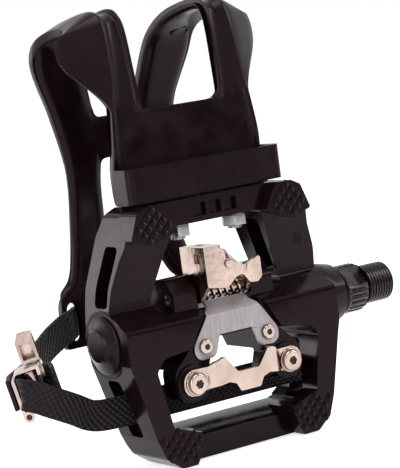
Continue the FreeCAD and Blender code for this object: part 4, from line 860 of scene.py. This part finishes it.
class PEDAL_OT_strap(bpy.types.Operator):
    """Weave the strap along its route"""
    bl_idname = "pedal.strap"
    bl_label = "Strap"

    # across, back from the cleat face and up, along the strap's middle
    ROUTE = [
        (-76.8, 10, -11.4), (-73.8, 14.7, -11.4), (-69.8, 21, -11.4), (-62, 26, -9.5),
        (-53, 34, -6.2), (-44, 39.6, -2.4), (-36.5, 42.2, 0.6), (-32, 42.8, 2.2),
        (-29, 45.9, 2.2), (-26, 49.5, 2.2), (-21, 50.8, 2.2), (0, 51.4, 2.2),
        (21, 50.8, 2.2), (26, 49.5, 2.2), (29, 45.9, 2.2), (32, 42.8, 2.2),
        (36.5, 42.2, 0.6), (44, 37, -4), (49.4, 26, -11), (50, 13, -18), (47, 4.4, -21.9),
        (41.6, -0.1, -23.3), (35.6, -0.9, -23.3), (0, -0.9, -23.3), (-35.6, -0.9, -23.3),
        (-42.6, -0.9, -23.3), (-52.6, 0, -22.5), (-60, -0.2, -18.6), (-64.5, 0.3, -16.2),
        (-67.6, 1.0, -14.6), (-71, 2.4, -12.6), (-75.3, 4.7, -10.7), (-73.4, 8.4, -10.7),
        (-70.7, 12.7, -10.7), (-67.2, 18.1, -10.7), (-64.2, 19.3, -10.3),
        (-60.3, 17.3, -9.4), (-59.3, 13.1, -8.8), (-61.5, 6.2, -8.4), (-64.4, 1.0, -8.3),
    ]
    # the strap's width points up, but leans with the buckle at both ends of the route
    UPRIGHT = Vector((0, 0, 1))
    LEANING = Vector((-0.168, 0.107, 0.980))
    FIRST_UPRIGHT, LAST_UPRIGHT = 3, 26
    # places across the half width, and millimetres between rows
    ACROSS = (-1.0, -0.93, -0.6, -0.2, 0.2, 0.6, 0.93, 1.0)
    STEP = 1.0

    def line(self):
        """Evenly spaced points of the route with the strap's width direction at each."""
        raw = [Vector(p) for p in self.ROUTE]
        last = len(raw) - 1
        wide = [self.UPRIGHT if self.FIRST_UPRIGHT <= i <= self.LAST_UPRIGHT else self.LEANING
                for i in range(last + 1)]
        line = []
        for i in range(last):
            a = raw[max(0, i - 1)]
            b, c = raw[i], raw[i + 1]
            d = raw[min(last, i + 2)]
            gap = (c - b).length
            back = (c - a) * (gap / max(SAME_POINT, (c - b).length + (b - a).length))
            ahead = (d - b) * (gap / max(SAME_POINT, (d - c).length + (c - b).length))
            steps = max(2, int(gap / self.STEP))
            for k in range(steps + (i == last - 1)):
                t = k / steps
                h = t * t
                q = h * t
                spot = ((2 * q - 3 * h + 1) * b + (q - 2 * h + t) * back
                        + (3 * h - 2 * q) * c + (q - h) * ahead)
                line.append((spot, wide[i].lerp(wide[i + 1], t)))
        return line

    def execute(self, context):
        sizes = context.scene.pedal_sizes
        line = self.line()
        half = sizes.strap_width / MM / 2
        verts, marks, travelled = [], [], 0.0
        for index, (spot, wide) in enumerate(line):
            before = line[max(0, index - 1)][0]
            after = line[min(len(line) - 1, index + 1)][0]
            run = (after - before).normalized()
            wide = (wide - run * wide.dot(run)).normalized()
            if index:
                travelled += (spot - line[index - 1][0]).length
            for share in self.ACROSS:
                at = spot + wide * (half * share)
                verts.append(Vector((at.x - CRANK_FACE, at.y, at.z)) * MM)
                marks.append((share * half, travelled))
        faces = grid_faces(len(line), len(self.ACROSS))
        made = piece("woven_strap", verts, faces, "pedal", "webbing",
                     replaces=("strap",))
        layer = made.data.uv_layers.new(name="yarns")
        for loop in made.data.loops:
            layer.data[loop.index].uv = marks[loop.vertex_index]
        thicken(made, sizes.strap_thickness, offset=0.0)
        return {"FINISHED"}


class PEDAL_OT_stage(bpy.types.Operator):
    """Lay the pale floor and set the lamps and camera"""
    bl_idname = "pedal.stage"
    bl_label = "Stage"

    # the camera's place, where it looks and which way is down in its picture, in metres
    CAMERA = Vector((-0.45523, -0.58435, 0.10819))
    AHEAD = Vector((0.5514, 0.8270, -0.1095))
    DOWN = Vector((-0.1694, -0.0176, -0.9854))
    # what the lamps and cards face
    TARGET = Vector((-0.066, 0.01, 0.03))
    LENS = 155.5
    SENSOR = 36.0
    NEAREST = 0.01
    # name, place, size and watts of each lamp
    LAMPS = (("left_strip", (-0.85, -0.25, 0.35), (0.22, 0.7), 3.2),
             ("right_strip", (0.7, -0.45, 0.55), (0.3, 0.6), 3.4),
             ("back_left_panel", (-0.95, 1.15, 0.05), (0.9, 0.9), 10.0),
             ("top_panel", (-0.1, -0.15, 0.85), (0.5, 0.5), 3.4))
    # name, place and half sizes of each dark card, all in metres as the lamps' are
    CARDS = (("right_card", (0.55, -0.9, 0.02), (0.26, 0.14)),
             ("upper_card", (0.25, -0.55, 0.75), (0.2, 0.2)))
    FLOOR_HALF = 3.0
    FLOOR_GAP = 0.0004
    # how much the floor glows where it is seen, and the world's light where it isn't
    GLOW = 0.66
    UNSEEN = 0.45

    def aim(self, made, place):
        """Puts a lamp or card at a place and faces it to the pedal."""
        made.location = place
        made.rotation_euler = (self.TARGET - Vector(place)).to_track_quat("-Z", "Y").to_euler()

    def lamp(self, name, place, size, power):
        """A rectangular lamp facing the pedal."""
        data = bpy.data.lights.new(name, "AREA")
        data.shape = "RECTANGLE"
        data.size, data.size_y = size
        data.energy = power
        self.aim(placed(name, data), place)

    def background_rays(self, tree):
        """1 for rays that see the background: from the camera, or off metal and glass."""
        path = tree.nodes.new("ShaderNodeLightPath").outputs
        seen = calculate(tree, "MAXIMUM", path["Is Camera Ray"], path["Is Glossy Ray"])
        return calculate(tree, "MAXIMUM", seen, path["Is Transmission Ray"])

    def card(self, name, wide, tall, low, material):
        """A flat rectangle of the stage, from its half sizes."""
        mesh = bpy.data.meshes.new(name)
        mesh.from_pydata([(-wide, -tall, low), (wide, -tall, low), (wide, tall, low),
                          (-wide, tall, low)], [], [(0, 1, 2, 3)])
        mesh.materials.append(material)
        made = placed(name, mesh)
        made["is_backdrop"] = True
        return made

    def floor(self):
        """The pale floor, as bright as white paper where it is seen."""
        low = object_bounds()[0][2] - self.FLOOR_GAP
        f = Finish("pale_floor", "floor", roughness=0.8, specular=0.1)
        f.vary_gloss(scale=40.0, amount=0.05)
        glow = f.nodes.new("ShaderNodeEmission")
        total = f.nodes.new("ShaderNodeAddShader")
        f.links.new(calculate(f.tree, "MULTIPLY", self.background_rays(f.tree), self.GLOW),
                    glow.inputs["Strength"])
        f.links.new(f.shader.outputs["BSDF"], total.inputs[0])
        f.links.new(glow.outputs["Emission"], total.inputs[1])
        f.links.new(total.outputs["Shader"], f.nodes["Material Output"].inputs["Surface"])
        self.card("floor", self.FLOOR_HALF, self.FLOOR_HALF, low, f.material)

    def dark_card(self, name, place, half):
        """A black card, seen only in reflections, that gives bright metal its contrast."""
        made = self.card(name, *half, 0.0, finish_named("rubber"))
        self.aim(made, place)
        made.visible_camera = False
        made.visible_diffuse = False
        made.visible_shadow = False

    def world(self):
        """Even white light, dimmer than the background that is seen."""
        world = bpy.data.worlds.new("studio")
        world.use_nodes = True
        tree = world.node_tree
        span = tree.nodes.new("ShaderNodeMapRange")
        span.inputs["To Min"].default_value = self.UNSEEN
        span.inputs["To Max"].default_value = 1.0
        tree.links.new(self.background_rays(tree), span.inputs["Value"])
        back = tree.nodes["Background"]
        back.inputs["Color"].default_value = (1.0, 1.0, 1.0, 1.0)
        tree.links.new(span.outputs["Result"], back.inputs["Strength"])
        bpy.context.scene.world = world

    def camera(self, context):
        """The camera at the photograph's viewing angle."""
        data = bpy.data.cameras.new("camera")
        data.lens = self.LENS
        data.sensor_width = self.SENSOR
        data.clip_start = self.NEAREST
        camera = placed("camera", data)
        up = -self.DOWN
        right = self.AHEAD.cross(up).normalized()
        turn = Matrix((right, up, -self.AHEAD)).transposed().to_4x4()
        camera.matrix_world = Matrix.Translation(self.CAMERA) @ turn
        context.scene.camera = camera
        context.scene.view_settings.view_transform = "Standard"

    def execute(self, context):
        self.floor()
        self.world()
        for card in self.CARDS:
            self.dark_card(*card)
        for lamp in self.LAMPS:
            self.lamp(*lamp)
        self.camera(context)
        return {"FINISHED"}


# -------------------------------------------------------------------- panel

class PEDAL_PT_sidebar(bpy.types.Panel):
    """Lists the settings and the steps that build the pedal"""
    bl_idname = "PEDAL_PT_sidebar"
    bl_label = "Toe Clip Pedal"
    bl_space_type = "VIEW_3D"
    bl_region_type = "UI"
    bl_category = "Pedal"

    def draw(self, context):
        for group in (context.scene.pedal_sizes, context.scene.pedal_colours):
            box = self.layout.box()
            for name in group.__annotations__:
                box.prop(group, name)
        for step in STEPS:
            self.layout.operator(step.bl_idname)


STEPS = (PEDAL_OT_body, PEDAL_OT_knurling, PEDAL_OT_cleat_parts, PEDAL_OT_cover_plate,
         PEDAL_OT_bearings, PEDAL_OT_spindle, PEDAL_OT_toe_cage, PEDAL_OT_marks,
         PEDAL_OT_bumper, PEDAL_OT_cage_bolts, PEDAL_OT_buckle, PEDAL_OT_strap, PEDAL_OT_stage)
CLASSES = (PedalColours, PedalSizes) + STEPS + (PEDAL_PT_sidebar,)


def register():
    for entry in CLASSES:
        bpy.utils.register_class(entry)
    bpy.types.Scene.pedal_colours = PointerProperty(type=PedalColours)
    bpy.types.Scene.pedal_sizes = PointerProperty(type=PedalSizes)


def unregister():
    del bpy.types.Scene.pedal_sizes
    del bpy.types.Scene.pedal_colours
    for entry in reversed(CLASSES):
        bpy.utils.unregister_class(entry)


def main():
    register()
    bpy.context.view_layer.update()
    for step in STEPS:
        group, name = step.bl_idname.split(".")
        getattr(getattr(bpy.ops, group), name)()


if __name__ == "__main__":
    main()
